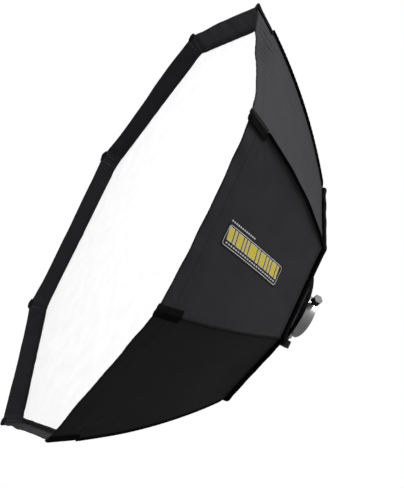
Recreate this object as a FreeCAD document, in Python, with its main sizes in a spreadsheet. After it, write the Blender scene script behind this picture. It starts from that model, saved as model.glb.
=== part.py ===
import FreeCAD, Part
import math
import os
import re

import Sketcher
from FreeCAD import Vector

# Octagonal studio softbox: a tapered fabric shell held open by eight sprung rods in a speed ring,
# with an inner baffle, a front diffuser and a clamp-on adapter for a flash head.
#
# Frame: +Y is the softbox's axis, from its open front to the flash head, and +Z is up. The origin
# is the centre of the adapter's bore on its rear face. Each body is drawn with its own Y counted
# as depth from the front edge of the shell, and its own Z as the direction outward from the axis.

DIMENSIONS = {
    # shell: an octagon measured across its seams, at the front rim, the rear octagon and the neck
    "sides": 8,
    "rim_radius": 610,
    "rear_radius": 305,
    "rear_depth": 385,
    "seam_bulge": 21,
    "gore_bulge": 20,
    "neck_radius": 125,
    "neck_depth": 463,
    "overall_depth": 530,
    "cloth": 0.8,
    "seam_gap": 0.15,
    "clearance": 0.3,
    # trim sewn to the shell
    "piping_radius": 5.5,
    "piping_offset": 3.2,
    "piping_margin": 5.1,
    "fin_height": 9,
    "fin_thick": 2.4,
    "binding_width": 9,
    "binding_thick": 1.2,
    "binding_gap": 0.6,
    "binding_neck_gap": 2,
    "trim_gap": 0.2,
    "facing_front": 1,
    "facing_thick": 1,
    "hook_front": 40,
    "hook_width": 20,
    "hook_thick": 1.4,
    "rod_room": 6,
    "pocket_width": 32,
    "pocket_fold_width": 24,
    "pocket_length": 64,
    "pocket_fold": 32,
    "pocket_thick": 1.5,
    "pocket_top": 2.3,
    "pocket_under": 8.2,
    "pocket_slope": 0.57,
    "label_front": 75,
    "label_rear": 286,
    "label_height": 52,
    "label_drop": 12,
    "label_thick": 0.4,
    "collar_radius": 113.2,
    "collar_gap": 2.3,
    "collar_length": 15,
    "collar_thick": 1.2,
    "strap_width": 10,
    "strap_thick": 1.6,
    "strap_margin": 2,
    # sprung rods and their ferrules
    "rod_radius": 2,
    "rod_inset": 4.2,
    "rod_back_inset": 5,
    "rod_bend": 160,
    "rod_front": 2,
    "rod_end_radius": 90,
    "ferrule_radius": 2.7,
    "ferrule_depth": 19.4,
    # front diffuser and inner baffle
    "lip_depth": 38,
    "diffuser_radius": 577.5,
    "border_outer": 579.5,
    "border_inner": 573.5,
    "diffuser_cloth": 0.8,
    "border_thick": 1.2,
    "loop_thick": 1.2,
    "loop_front": 42,
    "loop_rear": 59,
    "baffle_depth": 205,
    "baffle_radius": 400,
    "tab_start": 372,
    "tab_end": 452,
    "tab_width": 11,
    "tab_thick": 1,
    "loop_top": 5.2,
    "loop_drop": 30,
    "loop_length": 14,
    "loop_side": 7,
    "toggle_height": 457,
    "toggle_radius": 2.4,
    "toggle_length": 26,
    # adapter that slips over the flash head's nose, and the ring that turns on it
    "bore_radius": 50,
    "adapter_wall": 6,
    "flange_radius": 70,
    "flange_front": 457,
    "flange_thick": 5,
    "running_gap": 0.05,
    "axial_play": 0.15,
    "hub_radius": 66,
    "hub_rear": 498,
    "hub_front_radius": 84,
    "plate_front": 460,
    "plate_rear": 466,
    "rim_inner": 98,
    "rim_outer": 112,
    "rim_front": 454,
    "rim_rear": 472,
    "edge_break": 1.5,
    "socket_wall": 4,
    "socket_floor": 2,
    "retainer_inner": 53,
    "retainer_thick": 3,
    "retainer_screws": 6,
    "screw_circle": 77,
    "screw_radius": 1.5,
    "screw_clearance": 0.1,
    "screw_head": 2.9,
    "screw_head_thick": 1.8,
    "screw_length": 8,
    "screw_reach": 7,
    # thumb screws: three clamp the flash head's nose, one locks the ring's turn
    "clamps": 3,
    "clamp_turn": 60,
    "clamp_depth": 512,
    "clamp_tip": 50.6,
    "clamp_stud": 54.3,
    "clamp_knob": 72,
    "lock_turn": 225,
    "lock_depth": 486,
    "lock_tip": 56.35,
    "lock_stud": 60.1,
    "lock_knob": 86,
    "stud_radius": 4,
    "tip_radius": 3.6,
    "overlap": 2,
    "boss_radius": 8,
    "boss_height": 8,
    "knob_radius": 12,
    "knob_height": 18,
    "knob_grips": 6,
    "knob_grip_radius": 4,
    "knob_socket": 12,
    "stud_grip": 11,
}

FULL_TURN = 360
HALF_SECTOR = "(180 / sides)"
FLAT = f"cos({HALF_SECTOR})"
SIDE = f"tan({HALF_SECTOR})"
GORE_BLANK = f"2.2 * rim_radius * {SIDE}"
BACK_SLOPE = "((neck_depth - rear_depth) / (rear_radius - neck_radius))"

doc = FreeCAD.newDocument("softbox")
sheet = doc.addObject("Spreadsheet::Sheet", "dims")
for row, (alias, size) in enumerate(DIMENSIONS.items(), start=1):
    sheet.set(f"A{row}", alias)
    sheet.set(f"B{row}", str(size))
    sheet.setAlias(f"B{row}", alias)
doc.recompute()

SIDES = int(sheet.sides)
SECTOR = FULL_TURN / SIDES
parts = []


# ---- drawing helpers -------------------------------------------------------------------------


def bound(text):
    """The expression with each dimension's name pointing at its cell of the sheet."""

    def cell(word):
        return f"dims.{word[0]}" if word[0] in DIMENSIONS else word[0]

    return re.sub(r"[a-z_]+", cell, str(text))


def number(text):
    """The present value of an expression of the sheet's dimensions."""
    return float(sheet.evalExpression(bound(text)))


def new_part(label, turn=0):
    """A body for one sub-part, turned about the softbox's axis, its own Y counted from the rim."""
    body = doc.addObject("PartDesign::Body", label)
    body.Label = label
    body.AllowCompound = True
    body.Placement = FreeCAD.Placement(Vector(0, 0, 0), FreeCAD.Rotation(Vector(0, 1, 0), turn))
    body.setExpression("Placement.Base.y", bound("-overall_depth"))
    parts.append(body)
    return body


def origin(body, role):
    """One of the body's own planes or axes."""
    return next(item for item in body.Origin.OriginFeatures if item.Role == role)


def new_sketch(body, role="YZ_Plane"):
    """A sketch on one of the body's planes. On YZ it draws depth across and height upward."""
    sketch = body.newObject("Sketcher::SketchObject", body.Name + "_sketch")
    sketch.AttachmentSupport = (origin(body, role), [""])
    sketch.MapMode = "FlatFace"
    return sketch


def hold(sketch, kind, *where, size):
    """Adds a constraint whose value follows an expression."""
    index = sketch.addConstraint(Sketcher.Constraint(kind, *where, number(size)))
    sketch.setExpression(f"Constraints[{index}]", bound(size))


def join(sketch, first, first_end, second, second_end):
    sketch.addConstraint(Sketcher.Constraint("Coincident", first, first_end, second, second_end))


def place(sketch, geometry, point, across, upward):
    """Holds a point of the sketch at two expressions."""
    hold(sketch, "DistanceX", -1, 1, geometry, point, size=across)
    hold(sketch, "DistanceY", -1, 1, geometry, point, size=upward)


def outline(sketch, corners):
    """A closed outline of straight edges through corners, each placed by two expressions."""
    spots = [Vector(number(across), number(upward), 0) for across, upward in corners]
    first = sketch.GeometryCount
    count = len(spots)
    for step, spot in enumerate(spots):
        sketch.addGeometry(Part.LineSegment(spot, spots[(step + 1) % count]), False)
    for step, (across, upward) in enumerate(corners):
        join(sketch, first + step, 2, first + (step + 1) % count, 1)
        place(sketch, first + step, 1, across, upward)


def rectangle(sketch, left, right, low, high):
    outline(sketch, [(left, low), (right, low), (right, high), (left, high)])


def circle(sketch, across, upward, radius):
    centre = Vector(number(across), number(upward), 0)
    geometry = sketch.addGeometry(Part.Circle(centre, Vector(0, 0, 1), number(radius)), False)
    place(sketch, geometry, 3, across, upward)
    hold(sketch, "Radius", geometry, size=radius)


def shell_arc(share, bulge):
    """The shell's curve from rim to rear octagon, as expressions: centre depth and height, radius.

    share is 1 in the plane of a seam, and FLAT in the plane through the middle of a gore."""
    fall = f"((rim_radius - rear_radius) * {share})"
    chord = f"sqrt({fall} ^ 2 + rear_depth ^ 2)"
    radius = f"(({chord} ^ 2 / 4 + {bulge} ^ 2) / (2 * {bulge}))"
    depth = f"(rear_depth / 2 - ({radius} - {bulge}) * {fall} / {chord})"
    height = f"((rim_radius + rear_radius) / 2 * {share} - ({radius} - {bulge}) * rear_depth / {chord})"
    return depth, height, radius


SEAM_ARC = shell_arc("1", "seam_bulge")
GORE_ARC = shell_arc(FLAT, "gore_bulge")


def arc_angle(arc, radius, depth):
    """The angle at which a circle about the arc's centre stands at this depth."""
    return math.acos((number(depth) - number(arc[0])) / radius)


def curved_strip(sketch, arc, outer, inner, front, rear):
    """The outline between two arcs at offsets outward from the shell's curve, from front to rear."""
    centre = Vector(number(arc[0]), number(arc[1]), 0)
    first = sketch.GeometryCount
    spots = []
    for offset in (outer, inner):
        radius = number(f"{arc[2]} + ({offset})")
        angles = [arc_angle(arc, radius, depth) for depth in (rear, front)]
        ring = Part.Circle(centre, Vector(0, 0, 1), radius)
        spots.append([ring.value(angle) for angle in angles])
        sketch.addGeometry(Part.ArcOfCircle(ring, *angles), False)
    for end in (0, 1):
        edge = sketch.addGeometry(Part.LineSegment(spots[0][end], spots[1][end]), False)
        sketch.addConstraint(Sketcher.Constraint("Vertical", edge))
        join(sketch, first, end + 1, edge, 1)
        join(sketch, first + 1, end + 1, edge, 2)
    place(sketch, first, 3, arc[0], arc[1])
    join(sketch, first, 3, first + 1, 3)
    hold(sketch, "Radius", first, size=f"{arc[2]} + ({outer})")
    hold(sketch, "Radius", first + 1, size=f"{arc[2]} + ({inner})")
    hold(sketch, "DistanceX", -1, 1, first, 1, size=rear)
    hold(sketch, "DistanceX", -1, 1, first, 2, size=front)


# ---- feature helpers -------------------------------------------------------------------------


def pad(body, sketch, width, middle=True, start=None):
    """Pads a sketch by width, evenly on both sides, or from start outward along its normal."""
    feature = body.newObject("PartDesign::Pad", body.Name + "_pad")
    feature.Profile = (sketch, [""])
    feature.Midplane = middle
    feature.setExpression("Length", bound(width))
    if start is not None:
        sketch.setExpression("AttachmentOffset.Base.z", bound(start))
    return feature


def cut_through(body, sketch):
    """Cuts the sketch's outlines through the whole body, both ways."""
    feature = body.newObject("PartDesign::Pocket", body.Name + "_cut")
    feature.Profile = (sketch, [""])
    feature.Midplane = True
    feature.Type = "ThroughAll"
    return feature


def turned(body, sketch):
    """Turns a sketch about the softbox's axis."""
    feature = body.newObject("PartDesign::Revolution", body.Name + "_turned")
    feature.Profile = (sketch, [""])
    feature.ReferenceAxis = (sketch, ["H_Axis"])
    feature.Angle = FULL_TURN
    return feature


def cylinder(body, action, radius, height, base, axis=(1, 0, 0), angle="0"):
    """Adds or removes a cylinder that starts at base, its length turned from Z about axis."""
    feature = body.newObject(f"PartDesign::{action}Cylinder", f"{body.Name}_{action.lower()}")
    feature.setExpression("Radius", bound(radius))
    feature.setExpression("Height", bound(height))
    feature.Placement = FreeCAD.Placement(Vector(0, 0, 0), FreeCAD.Rotation(Vector(*axis), 1))
    feature.setExpression("Placement.Rotation.Angle", bound(angle))
    for letter, position in zip("xyz", base):
        feature.setExpression(f"Placement.Base.{letter}", bound(position))
    return feature


def around(body, features=(), count="sides"):
    """Repeats features, or the whole body if none are named, evenly around the softbox's axis."""
    pattern = body.newObject("PartDesign::PolarPattern", body.Name + "_around")
    if features:
        pattern.Originals = list(features)
    else:
        pattern.TransformMode = "Whole shape"
    pattern.Axis = (origin(body, "Y_Axis"), [""])
    pattern.Angle = FULL_TURN
    pattern.setExpression("Occurrences", bound(count))
    body.Tip = pattern
    return pattern


def trim_sides(body, gap):
    """Cuts a gore's piece back to the planes of its two seams, gap short of each."""
    sketch = new_sketch(body, "XZ_Plane")
    low, high = "neck_radius / 2", "rim_radius * 1.1"
    for side in (1, -1):
        near, far = (f"{side} * ({level} * {SIDE} - ({gap}) / {FLAT})" for level in (low, high))
        outside = f"{side} * rim_radius"
        outline(sketch, [(near, low), (outside, low), (outside, high), (far, high)])
    return cut_through(body, sketch)


def gore_piece(label, turn, draw, gap="seam_gap"):
    """A piece as wide as a gore, drawn in the plane through the gore's middle."""
    body = new_part(label, turn)
    sketch = new_sketch(body)
    draw(sketch)
    pad(body, sketch, GORE_BLANK)
    trim_sides(body, gap)
    return body


def gore_ring(label, draw, gap="seam_gap"):
    """One such piece on every gore, as a group of separate solids in one part."""
    body = new_part(label)
    sketch = new_sketch(body)
    draw(sketch)
    pad(body, sketch, GORE_BLANK)
    doc.recompute()
    trim_sides(body, gap)
    doc.recompute()
    around(body)
    return body


def seam_ring(label, draw, width, start=None):
    """One piece in the plane of every seam, as a group of separate solids in one part."""
    body = new_part(label, SECTOR / 2)
    sketch = new_sketch(body)
    draw(sketch)
    pad(body, sketch, width, middle=start is None, start=start)
    doc.recompute()
    around(body)
    return body


# ---- fabric shell ----------------------------------------------------------------------------


def draw_front_gore(sketch):
    curved_strip(sketch, GORE_ARC, "0", "-cloth", "0", "rear_depth - piping_offset")


def draw_back_gore(sketch):
    start, end = f"(rear_radius - piping_offset) * {FLAT}", f"neck_radius * {FLAT}"
    front, rear = f"rear_depth + piping_offset * {BACK_SLOPE}", "neck_depth"
    outline(sketch, [(front, start), (rear, end), (f"{rear} - cloth", end), (f"{front} - cloth", start)])


def draw_piping(sketch):
    """Piping on the rear octagon, standing proud of the corner that the two cloths make."""
    circle(sketch, "rear_depth + piping_offset", f"(rear_radius + piping_offset) * {FLAT}", "piping_radius")


def draw_facing(sketch):
    outer = "-cloth - trim_gap"
    curved_strip(sketch, GORE_ARC, outer, f"{outer} - facing_thick", "facing_front", "lip_depth")


def draw_hook_strip(sketch):
    outer = "-cloth - trim_gap"
    rear = "hook_front + hook_width"
    curved_strip(sketch, GORE_ARC, outer, f"{outer} - hook_thick", "hook_front", rear)


def draw_front_binding(sketch):
    """The bound edges of two cloths, standing out from their seam between corner patch and piping."""
    front, rear = "pocket_length + clearance", "rear_depth - piping_margin"
    curved_strip(sketch, SEAM_ARC, "fin_height", "clearance", front, rear)


def draw_back_binding(sketch):
    start, end = "rear_radius - piping_margin - clearance", "neck_radius + binding_neck_gap"
    front, rear = (f"neck_depth + (neck_radius - ({height})) * {BACK_SLOPE}" for height in (start, end))
    near, far = "binding_gap", "binding_gap + binding_thick"
    outline(
        sketch,
        [
            (f"{front} + {near}", start),
            (f"{rear} + {near}", end),
            (f"{rear} + {far}", end),
            (f"{front} + {far}", start),
        ],
    )


def build_shell():
    """Eight front gores and eight back gores, with the piping and bindings on their seams."""
    for index in range(SIDES):
        gore_piece(f"front_gore_{index + 1}", index * SECTOR, draw_front_gore)
        gore_piece(f"back_gore_{index + 1}", index * SECTOR, draw_back_gore)
    gore_ring("rear_piping", draw_piping)
    gore_ring("lip_facing", draw_facing, gap="rod_room")
    gore_ring("hook_strip", draw_hook_strip, gap="rod_room")
    seam_ring("front_seam_binding", draw_front_binding, "fin_thick")
    seam_ring("back_seam_binding", draw_back_binding, "binding_width")


def pocket_height(offset, depth):
    """Height at this depth of a line that runs along the seam near the rim, offset outward."""
    return f"rim_radius + ({offset}) - ({depth}) * pocket_slope"


def build_corner_pockets():
    """Webbing folded over each corner of the rim: a wide patch outside, and a fold for the rod inside."""
    body = new_part("corner_pockets", SECTOR / 2)
    front, tip = "-2 * pocket_thick", "-pocket_thick"
    patch = new_sketch(body)
    corners = [
        (front, pocket_height("pocket_top + pocket_thick", front)),
        (front, pocket_height("-pocket_under - pocket_thick", front)),
        (tip, pocket_height("-pocket_under - pocket_thick", tip)),
        (tip, pocket_height("pocket_top", tip)),
        ("pocket_length", pocket_height("pocket_top", "pocket_length")),
        ("pocket_length", pocket_height("pocket_top + pocket_thick", "pocket_length")),
    ]
    outline(patch, corners)
    pad(body, patch, "pocket_width")
    doc.recompute()
    fold = new_sketch(body)
    corners = [
        (front, pocket_height("-pocket_under", front)),
        (front, pocket_height("-pocket_under - pocket_thick", front)),
        ("pocket_fold", pocket_height("-pocket_under - pocket_thick", "pocket_fold")),
        ("pocket_fold", pocket_height("-pocket_under", "pocket_fold")),
    ]
    outline(fold, corners)
    pad(body, fold, "pocket_fold_width")
    doc.recompute()
    around(body)


def build_neck():
    """The short sleeve of cloth around the speed ring, and the strap that closes it."""
    rear = "neck_depth + collar_length"
    collar = new_part("neck_collar")
    sketch = new_sketch(collar)
    rectangle(sketch, "neck_depth + collar_gap", rear, "collar_radius", "collar_radius + collar_thick")
    turned(collar, sketch)
    strap = new_part("collar_strap")
    sketch = new_sketch(strap)
    inside = "collar_radius + collar_thick + clearance"
    edges = f"{rear} - strap_width - strap_margin", f"{rear} - strap_margin"
    rectangle(sketch, *edges, inside, f"{inside} + strap_thick")
    turned(strap, sketch)


def build_label():
    """A long patch on the gore that faces +X, its length along the softbox's depth."""
    body = new_part("label_patch", FULL_TURN / 4)
    sketch = new_sketch(body)
    curved_strip(sketch, GORE_ARC, "clearance + label_thick", "clearance", "label_front", "label_rear")
    pad(body, sketch, "label_height", middle=False, start="label_drop - label_height / 2")


# ---- rods ------------------------------------------------------------------------------------


def rod_line_depth(height):
    """Depth of the rods' straight inner ends at this height, under the back gores' seams."""
    seam_depth = f"neck_depth + (neck_radius - ({height})) * {BACK_SLOPE}"
    return f"({seam_depth} - rod_back_inset / cos(atan({BACK_SLOPE})))"


def bend_points():
    """Where a rod's bend meets its long arc and its straight end, and the bend's centre."""
    centre = Vector(number(SEAM_ARC[0]), number(SEAM_ARC[1]), 0)
    long_radius = number(f"{SEAM_ARC[2]} - rod_inset")
    bend = number("rod_bend")
    slope = number(BACK_SLOPE)
    along = Vector(-slope, 1, 0).normalize()
    inward = Vector(-1, -slope, 0).normalize()
    foot = Vector(number(rod_line_depth("neck_radius")), number("neck_radius"), 0) + inward * bend
    gap = foot - centre
    half = gap.dot(along)
    reach = -half + math.sqrt(half**2 - gap.dot(gap) + (long_radius - bend) ** 2)
    middle = foot + along * reach
    outward = (middle - centre).normalize()
    return centre + outward * long_radius, middle - inward * bend, middle, centre, long_radius


def angle_of(point, centre):
    return math.atan2(point.y - centre.y, point.x - centre.x)


def draw_rod_path(sketch):
    """A rod's centre line: straight from its socket, a bend at the rear octagon, one arc to the rim."""
    long_end, bend_end, bend_centre, centre, long_radius = bend_points()
    socket = Vector(number(rod_line_depth("rod_end_radius")), number("rod_end_radius"), 0)
    back = [("rear_depth", "rear_radius"), ("neck_depth", "neck_radius")]
    ends = [Vector(number(across), number(upward), 0) for across, upward in back]
    front_angle = arc_angle(SEAM_ARC, long_radius, "rod_front")
    up = Vector(0, 0, 1)
    straight, bend, long_arc, seam = range(4)
    sketch.addGeometry(Part.LineSegment(socket, bend_end), False)
    bend_ring = Part.Circle(bend_centre, up, number("rod_bend"))
    bend_angles = angle_of(bend_end, bend_centre), angle_of(long_end, bend_centre)
    sketch.addGeometry(Part.ArcOfCircle(bend_ring, *bend_angles), False)
    long_ring = Part.Circle(centre, up, long_radius)
    sketch.addGeometry(Part.ArcOfCircle(long_ring, angle_of(long_end, centre), front_angle), False)
    sketch.addGeometry(Part.LineSegment(*ends), True)
    for point, spot in enumerate(back, start=1):
        place(sketch, seam, point, *spot)
    place(sketch, long_arc, 3, SEAM_ARC[0], SEAM_ARC[1])
    hold(sketch, "Radius", long_arc, size=f"{SEAM_ARC[2]} - rod_inset")
    hold(sketch, "Radius", bend, size="rod_bend")
    sketch.addConstraint(Sketcher.Constraint("Tangent", straight, 2, bend, 1))
    sketch.addConstraint(Sketcher.Constraint("Tangent", bend, 2, long_arc, 1))
    sketch.addConstraint(Sketcher.Constraint("Parallel", straight, seam))
    hold(sketch, "DistanceX", -1, 1, long_arc, 2, size="rod_front")
    place(sketch, straight, 1, rod_line_depth("rod_end_radius"), "rod_end_radius")


def sweep_along(body, path, edges, radii):
    """Sweeps circles of these radii along a path's edges, the first circle outside the others."""
    profile = body.newObject("Sketcher::SketchObject", body.Name + "_profile")
    profile.AttachmentSupport = [(path, "Vertex1"), (path, "Edge1")]
    profile.MapMode = "NormalToEdge"
    for radius in radii:
        circle(profile, "0", "0", radius)
    feature = body.newObject("PartDesign::AdditivePipe", body.Name + "_pipe")
    feature.Profile = profile
    feature.Spine = (path, edges)
    return feature


def build_rods():
    """One sprung rod in every seam, and the ferrule on each rod's front end."""
    for index in range(SIDES):
        body = new_part(f"rod_{index + 1}", (index + 0.5) * SECTOR)
        path = new_sketch(body)
        draw_rod_path(path)
        doc.recompute()
        sweep_along(body, path, ["Edge1", "Edge2", "Edge3"], ["rod_radius"])
    body = new_part("rod_ferrules", SECTOR / 2)
    path = new_sketch(body)
    _, _, _, centre, radius = bend_points()
    front, rear = "rod_front", "(rod_front + ferrule_depth)"
    heights = [
        f"{SEAM_ARC[1]} + sqrt(({SEAM_ARC[2]} - rod_inset) ^ 2 - ({depth} - {SEAM_ARC[0]}) ^ 2)"
        for depth in (front, rear)
    ]
    spots = [Vector(number(depth), number(height), 0) for depth, height in zip((front, rear), heights)]
    path.addGeometry(Part.LineSegment(*spots), False)
    for point, spot in enumerate(zip((front, rear), heights), start=1):
        place(path, 0, point, *spot)
    doc.recompute()
    sweep_along(body, path, ["Edge1"], ["ferrule_radius", "rod_radius + 2 * running_gap"])
    doc.recompute()
    around(body)


# ---- diffuser and baffle ---------------------------------------------------------------------


def draw_octagon(sketch, radius):
    """An octagon with a flat side upward, as the rim has."""
    corners = []
    for index in range(SIDES):
        angle = (index + 0.5) * SECTOR
        corners.append((f"{radius} * sin({angle})", f"{radius} * cos({angle})"))
    outline(sketch, corners)


def octagon_sheet(label, radius, front, thick):
    """A flat octagon of cloth across the softbox."""
    body = new_part(label)
    sketch = new_sketch(body, "XZ_Plane")
    draw_octagon(sketch, radius)
    pad(body, sketch, thick, middle=False, start=f"-({front}) - ({thick})")
    return body


def build_diffuser():
    """The front diffuser: white cloth, its border, and the loop strips that grip the hook strips."""
    behind = "lip_depth + border_thick + trim_gap"
    octagon_sheet("diffuser_cloth", "diffuser_radius", behind, "diffuser_cloth")

    def draw_border(sketch):
        inner, outer = f"border_inner * {FLAT}", f"border_outer * {FLAT}"
        rectangle(sketch, "lip_depth", "lip_depth + border_thick", inner, outer)

    def draw_loop_strip(sketch):
        outer = "-cloth - trim_gap - hook_thick - clearance"
        curved_strip(sketch, GORE_ARC, outer, f"{outer} - loop_thick", "loop_front", "loop_rear")

    gore_ring("diffuser_border", draw_border)
    gore_ring("diffuser_loop_strip", draw_loop_strip, gap="2 * rod_room")


def build_baffle():
    """The inner baffle: cloth, elastic tabs at its corners, and toggles through loops on the seams."""
    octagon_sheet("baffle_cloth", "baffle_radius", "baffle_depth", "cloth")
    behind = "baffle_depth + cloth + trim_gap"

    def draw_tab(sketch):
        rectangle(sketch, behind, f"{behind} + tab_thick", "tab_start", "tab_end")

    seam_ring("baffle_tabs", draw_tab, "tab_width")
    middle = f"({behind} + tab_thick / 2)"
    loops = new_part("baffle_loops", SECTOR / 2)
    strip = new_sketch(loops)
    front, rear = f"{middle} - loop_length / 2", f"{middle} + loop_length / 2"
    curved_strip(strip, SEAM_ARC, "-loop_top", "-loop_drop", front, rear)
    pad(loops, strip, "loop_thick", middle=False, start="loop_side")
    doc.recompute()
    eye = new_sketch(loops)
    circle(eye, middle, "toggle_height", "toggle_radius + clearance")
    cut_through(loops, eye)
    doc.recompute()
    around(loops)
    toggles = new_part("baffle_toggles", SECTOR / 2)
    bar = new_sketch(toggles)
    circle(bar, middle, "toggle_height", "toggle_radius")
    pad(toggles, bar, "toggle_length")
    doc.recompute()
    around(toggles)


# ---- adapter, speed ring and thumb screws ----------------------------------------------------


def build_adapter():
    """The turned adapter: a bore for the flash head's nose, a flange the ring turns on, clamp bosses."""
    body = new_part("adapter")
    sketch = new_sketch(body)
    outside = "bore_radius + adapter_wall"
    flange_rear = "flange_front + flange_thick"
    corners = [
        ("flange_front", "bore_radius"),
        ("flange_front", "flange_radius"),
        (flange_rear, "flange_radius"),
        (flange_rear, outside),
        ("overall_depth - edge_break", outside),
        ("overall_depth", f"{outside} - edge_break"),
        ("overall_depth", "bore_radius"),
    ]
    outline(sketch, corners)
    turned(body, sketch)
    doc.recompute()
    top = f"{outside} + boss_height"
    for clamp in range(int(sheet.clamps)):
        radial_cylinder(body, "Additive", clamp_angle(clamp), "boss_radius", f"{outside} - overlap", top)
    for clamp in range(int(sheet.clamps)):
        ends = "bore_radius - boss_height", f"{top} + overlap"
        radial_cylinder(body, "Subtractive", clamp_angle(clamp), "stud_radius + running_gap", *ends)


def clamp_angle(clamp):
    return f"(clamp_turn + {clamp} * 360 / clamps)"


def radial_cylinder(body, action, turn, radius, start, end, depth="clamp_depth"):
    """A cylinder along a radius of the softbox, at an angle from the body's own Z."""
    base = (f"({start}) * sin({turn})", depth, f"({start}) * cos({turn})")
    return cylinder(body, action, radius, f"({end}) - ({start})", base, axis=(0, 1, 0), angle=turn)


def build_speed_ring():
    """The cast ring that holds the rods: hub, plate and rim, eight rod sockets and the lock's boss."""
    body = new_part("speed_ring", SECTOR / 2)
    sketch = new_sketch(body)
    front = "flange_front - clearance"
    bearing = "bore_radius + adapter_wall + running_gap"
    seat = "flange_front + flange_thick + axial_play"
    corners = [
        (front, "flange_radius + clearance"),
        (front, "hub_front_radius"),
        ("plate_front", "hub_front_radius"),
        ("plate_front", "rim_inner"),
        ("rim_front", "rim_inner"),
        ("rim_front", "rim_outer - edge_break"),
        ("rim_front + edge_break", "rim_outer"),
        ("rim_rear - edge_break", "rim_outer"),
        ("rim_rear", "rim_outer - edge_break"),
        ("rim_rear", "rim_inner"),
        ("plate_rear", "rim_inner"),
        ("plate_rear", "hub_radius"),
        ("hub_rear - edge_break", "hub_radius"),
        ("hub_rear", "hub_radius - edge_break"),
        ("hub_rear", bearing),
        (seat, bearing),
        (seat, "flange_radius + clearance"),
    ]
    outline(sketch, corners)
    turned(body, sketch)
    doc.recompute()
    tilt = f"atan({BACK_SLOPE})"
    foot = "rod_end_radius - socket_floor"
    reach = f"(rim_outer - 2 * edge_break - ({foot})) / cos({tilt})"
    bore = f"(rim_outer + socket_wall + overlap - rod_end_radius) / cos({tilt})"
    boss = cylinder(
        body, "Additive", "rod_radius + socket_wall", reach, ("0", rod_line_depth(foot), foot), angle=tilt
    )
    doc.recompute()
    start = ("0", rod_line_depth("rod_end_radius"), "rod_end_radius")
    hole = cylinder(body, "Subtractive", "rod_radius + running_gap", bore, start, angle=tilt)
    doc.recompute()
    around(body, [boss, hole])
    doc.recompute()
    turn = f"(lock_turn - {HALF_SECTOR})"
    ends = "hub_radius - overlap", "hub_radius + boss_height"
    radial_cylinder(body, "Additive", turn, "boss_radius", *ends, "lock_depth")
    doc.recompute()
    ends = "bore_radius", "hub_radius + boss_height + overlap"
    radial_cylinder(body, "Subtractive", turn, "stud_radius + running_gap", *ends, "lock_depth")
    doc.recompute()
    tapped = cylinder(
        body,
        "Subtractive",
        "screw_radius + running_gap",
        "screw_length + overlap",
        ("0", f"{front} + screw_length", "screw_circle"),
        angle="90",
    )
    doc.recompute()
    around(body, [tapped], "retainer_screws")


def build_retainer():
    """The ring that keeps the adapter's flange in the speed ring, and its screws."""
    rear = "(flange_front - clearance)"
    front = f"({rear} - retainer_thick)"
    body = new_part("retaining_ring", SECTOR / 2)
    sketch = new_sketch(body)
    rectangle(sketch, front, rear, "retainer_inner", "hub_front_radius")
    turned(body, sketch)
    doc.recompute()
    base = ("0", f"{rear} + overlap", "screw_circle")
    reach = "retainer_thick + 2 * overlap"
    hole = cylinder(body, "Subtractive", "screw_radius + screw_clearance", reach, base, angle="90")
    doc.recompute()
    around(body, [hole], "retainer_screws")
    screws = new_part("retaining_screws", SECTOR / 2)
    tip = ("0", f"{rear} + screw_reach", "screw_circle")
    cylinder(screws, "Additive", "screw_radius", "retainer_thick + screw_reach", tip, angle="90")
    seat = ("0", front, "screw_circle")
    cylinder(screws, "Additive", "screw_head", "screw_head_thick", seat, angle="90")
    doc.recompute()
    around(screws, count="retainer_screws")


def build_thumb_screw(name, turn, depth, tip, stud, knob):
    """A nylon tip, a steel stud that presses it, and a moulded knob on the stud's outer end."""
    nose = new_part(f"{name}_tip", number(turn))
    base = ("0", depth, tip)
    cylinder(nose, "Additive", "tip_radius", f"{stud} - {tip} - clearance", base)
    shaft = new_part(f"{name}_stud", number(turn))
    cylinder(shaft, "Additive", "stud_radius", f"{knob} + stud_grip - {stud}", ("0", depth, stud))
    grip = new_part(f"{name}_knob", number(turn))
    face = new_sketch(grip, "XY_Plane")
    circle(face, "0", depth, "knob_radius")
    pad(grip, face, "knob_height", middle=False, start=knob)
    doc.recompute()
    flutes = new_sketch(grip, "XY_Plane")
    for flute in range(int(sheet.knob_grips)):
        angle = f"({flute} * 360 / knob_grips)"
        reach = "(knob_radius + knob_grip_radius / 2)"
        circle(flutes, f"{reach} * cos{angle}", f"{depth} + {reach} * sin{angle}", "knob_grip_radius")
    cut_through(grip, flutes)
    doc.recompute()
    base = ("0", depth, f"{knob} - overlap")
    cylinder(grip, "Subtractive", "stud_radius + running_gap", "knob_socket + overlap", base)


def build_thumb_screws():
    for clamp in range(int(sheet.clamps)):
        sizes = ("clamp_depth", "clamp_tip", "clamp_stud", "clamp_knob")
        build_thumb_screw(f"clamp_{clamp + 1}", clamp_angle(clamp), *sizes)
    build_thumb_screw("lock", "lock_turn", "lock_depth", "lock_tip", "lock_stud", "lock_knob")


# ---- the whole softbox -----------------------------------------------------------------------


def check_document():
    """Stops if any object failed, or any sub-part has no sound solid."""
    for item in doc.Objects:
        if {"Invalid", "Error"} & set(item.State):
            raise RuntimeError(f"{item.Label} did not recompute: {item.State}")
    for body in parts:
        shape = body.Shape
        if shape.isNull() or not shape.isValid() or not shape.Solids:
            raise RuntimeError(f"{body.Label} has no valid solid")


def export_parts():
    os.makedirs("parts", exist_ok=True)
    for body in parts:
        body.Shape.exportStep(f"parts/{body.Label}.step")


build_shell()
build_corner_pockets()
build_neck()
build_label()
build_rods()
build_diffuser()
build_baffle()
build_adapter()
build_speed_ring()
build_retainer()
build_thumb_screws()
doc.recompute()
check_document()
export_parts()
for part in parts:
    solids = len(part.Shape.Solids)
    print(f"{part.Label}: {solids} solid(s), {part.Shape.Volume / 1000:.1f} cm3")
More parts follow.
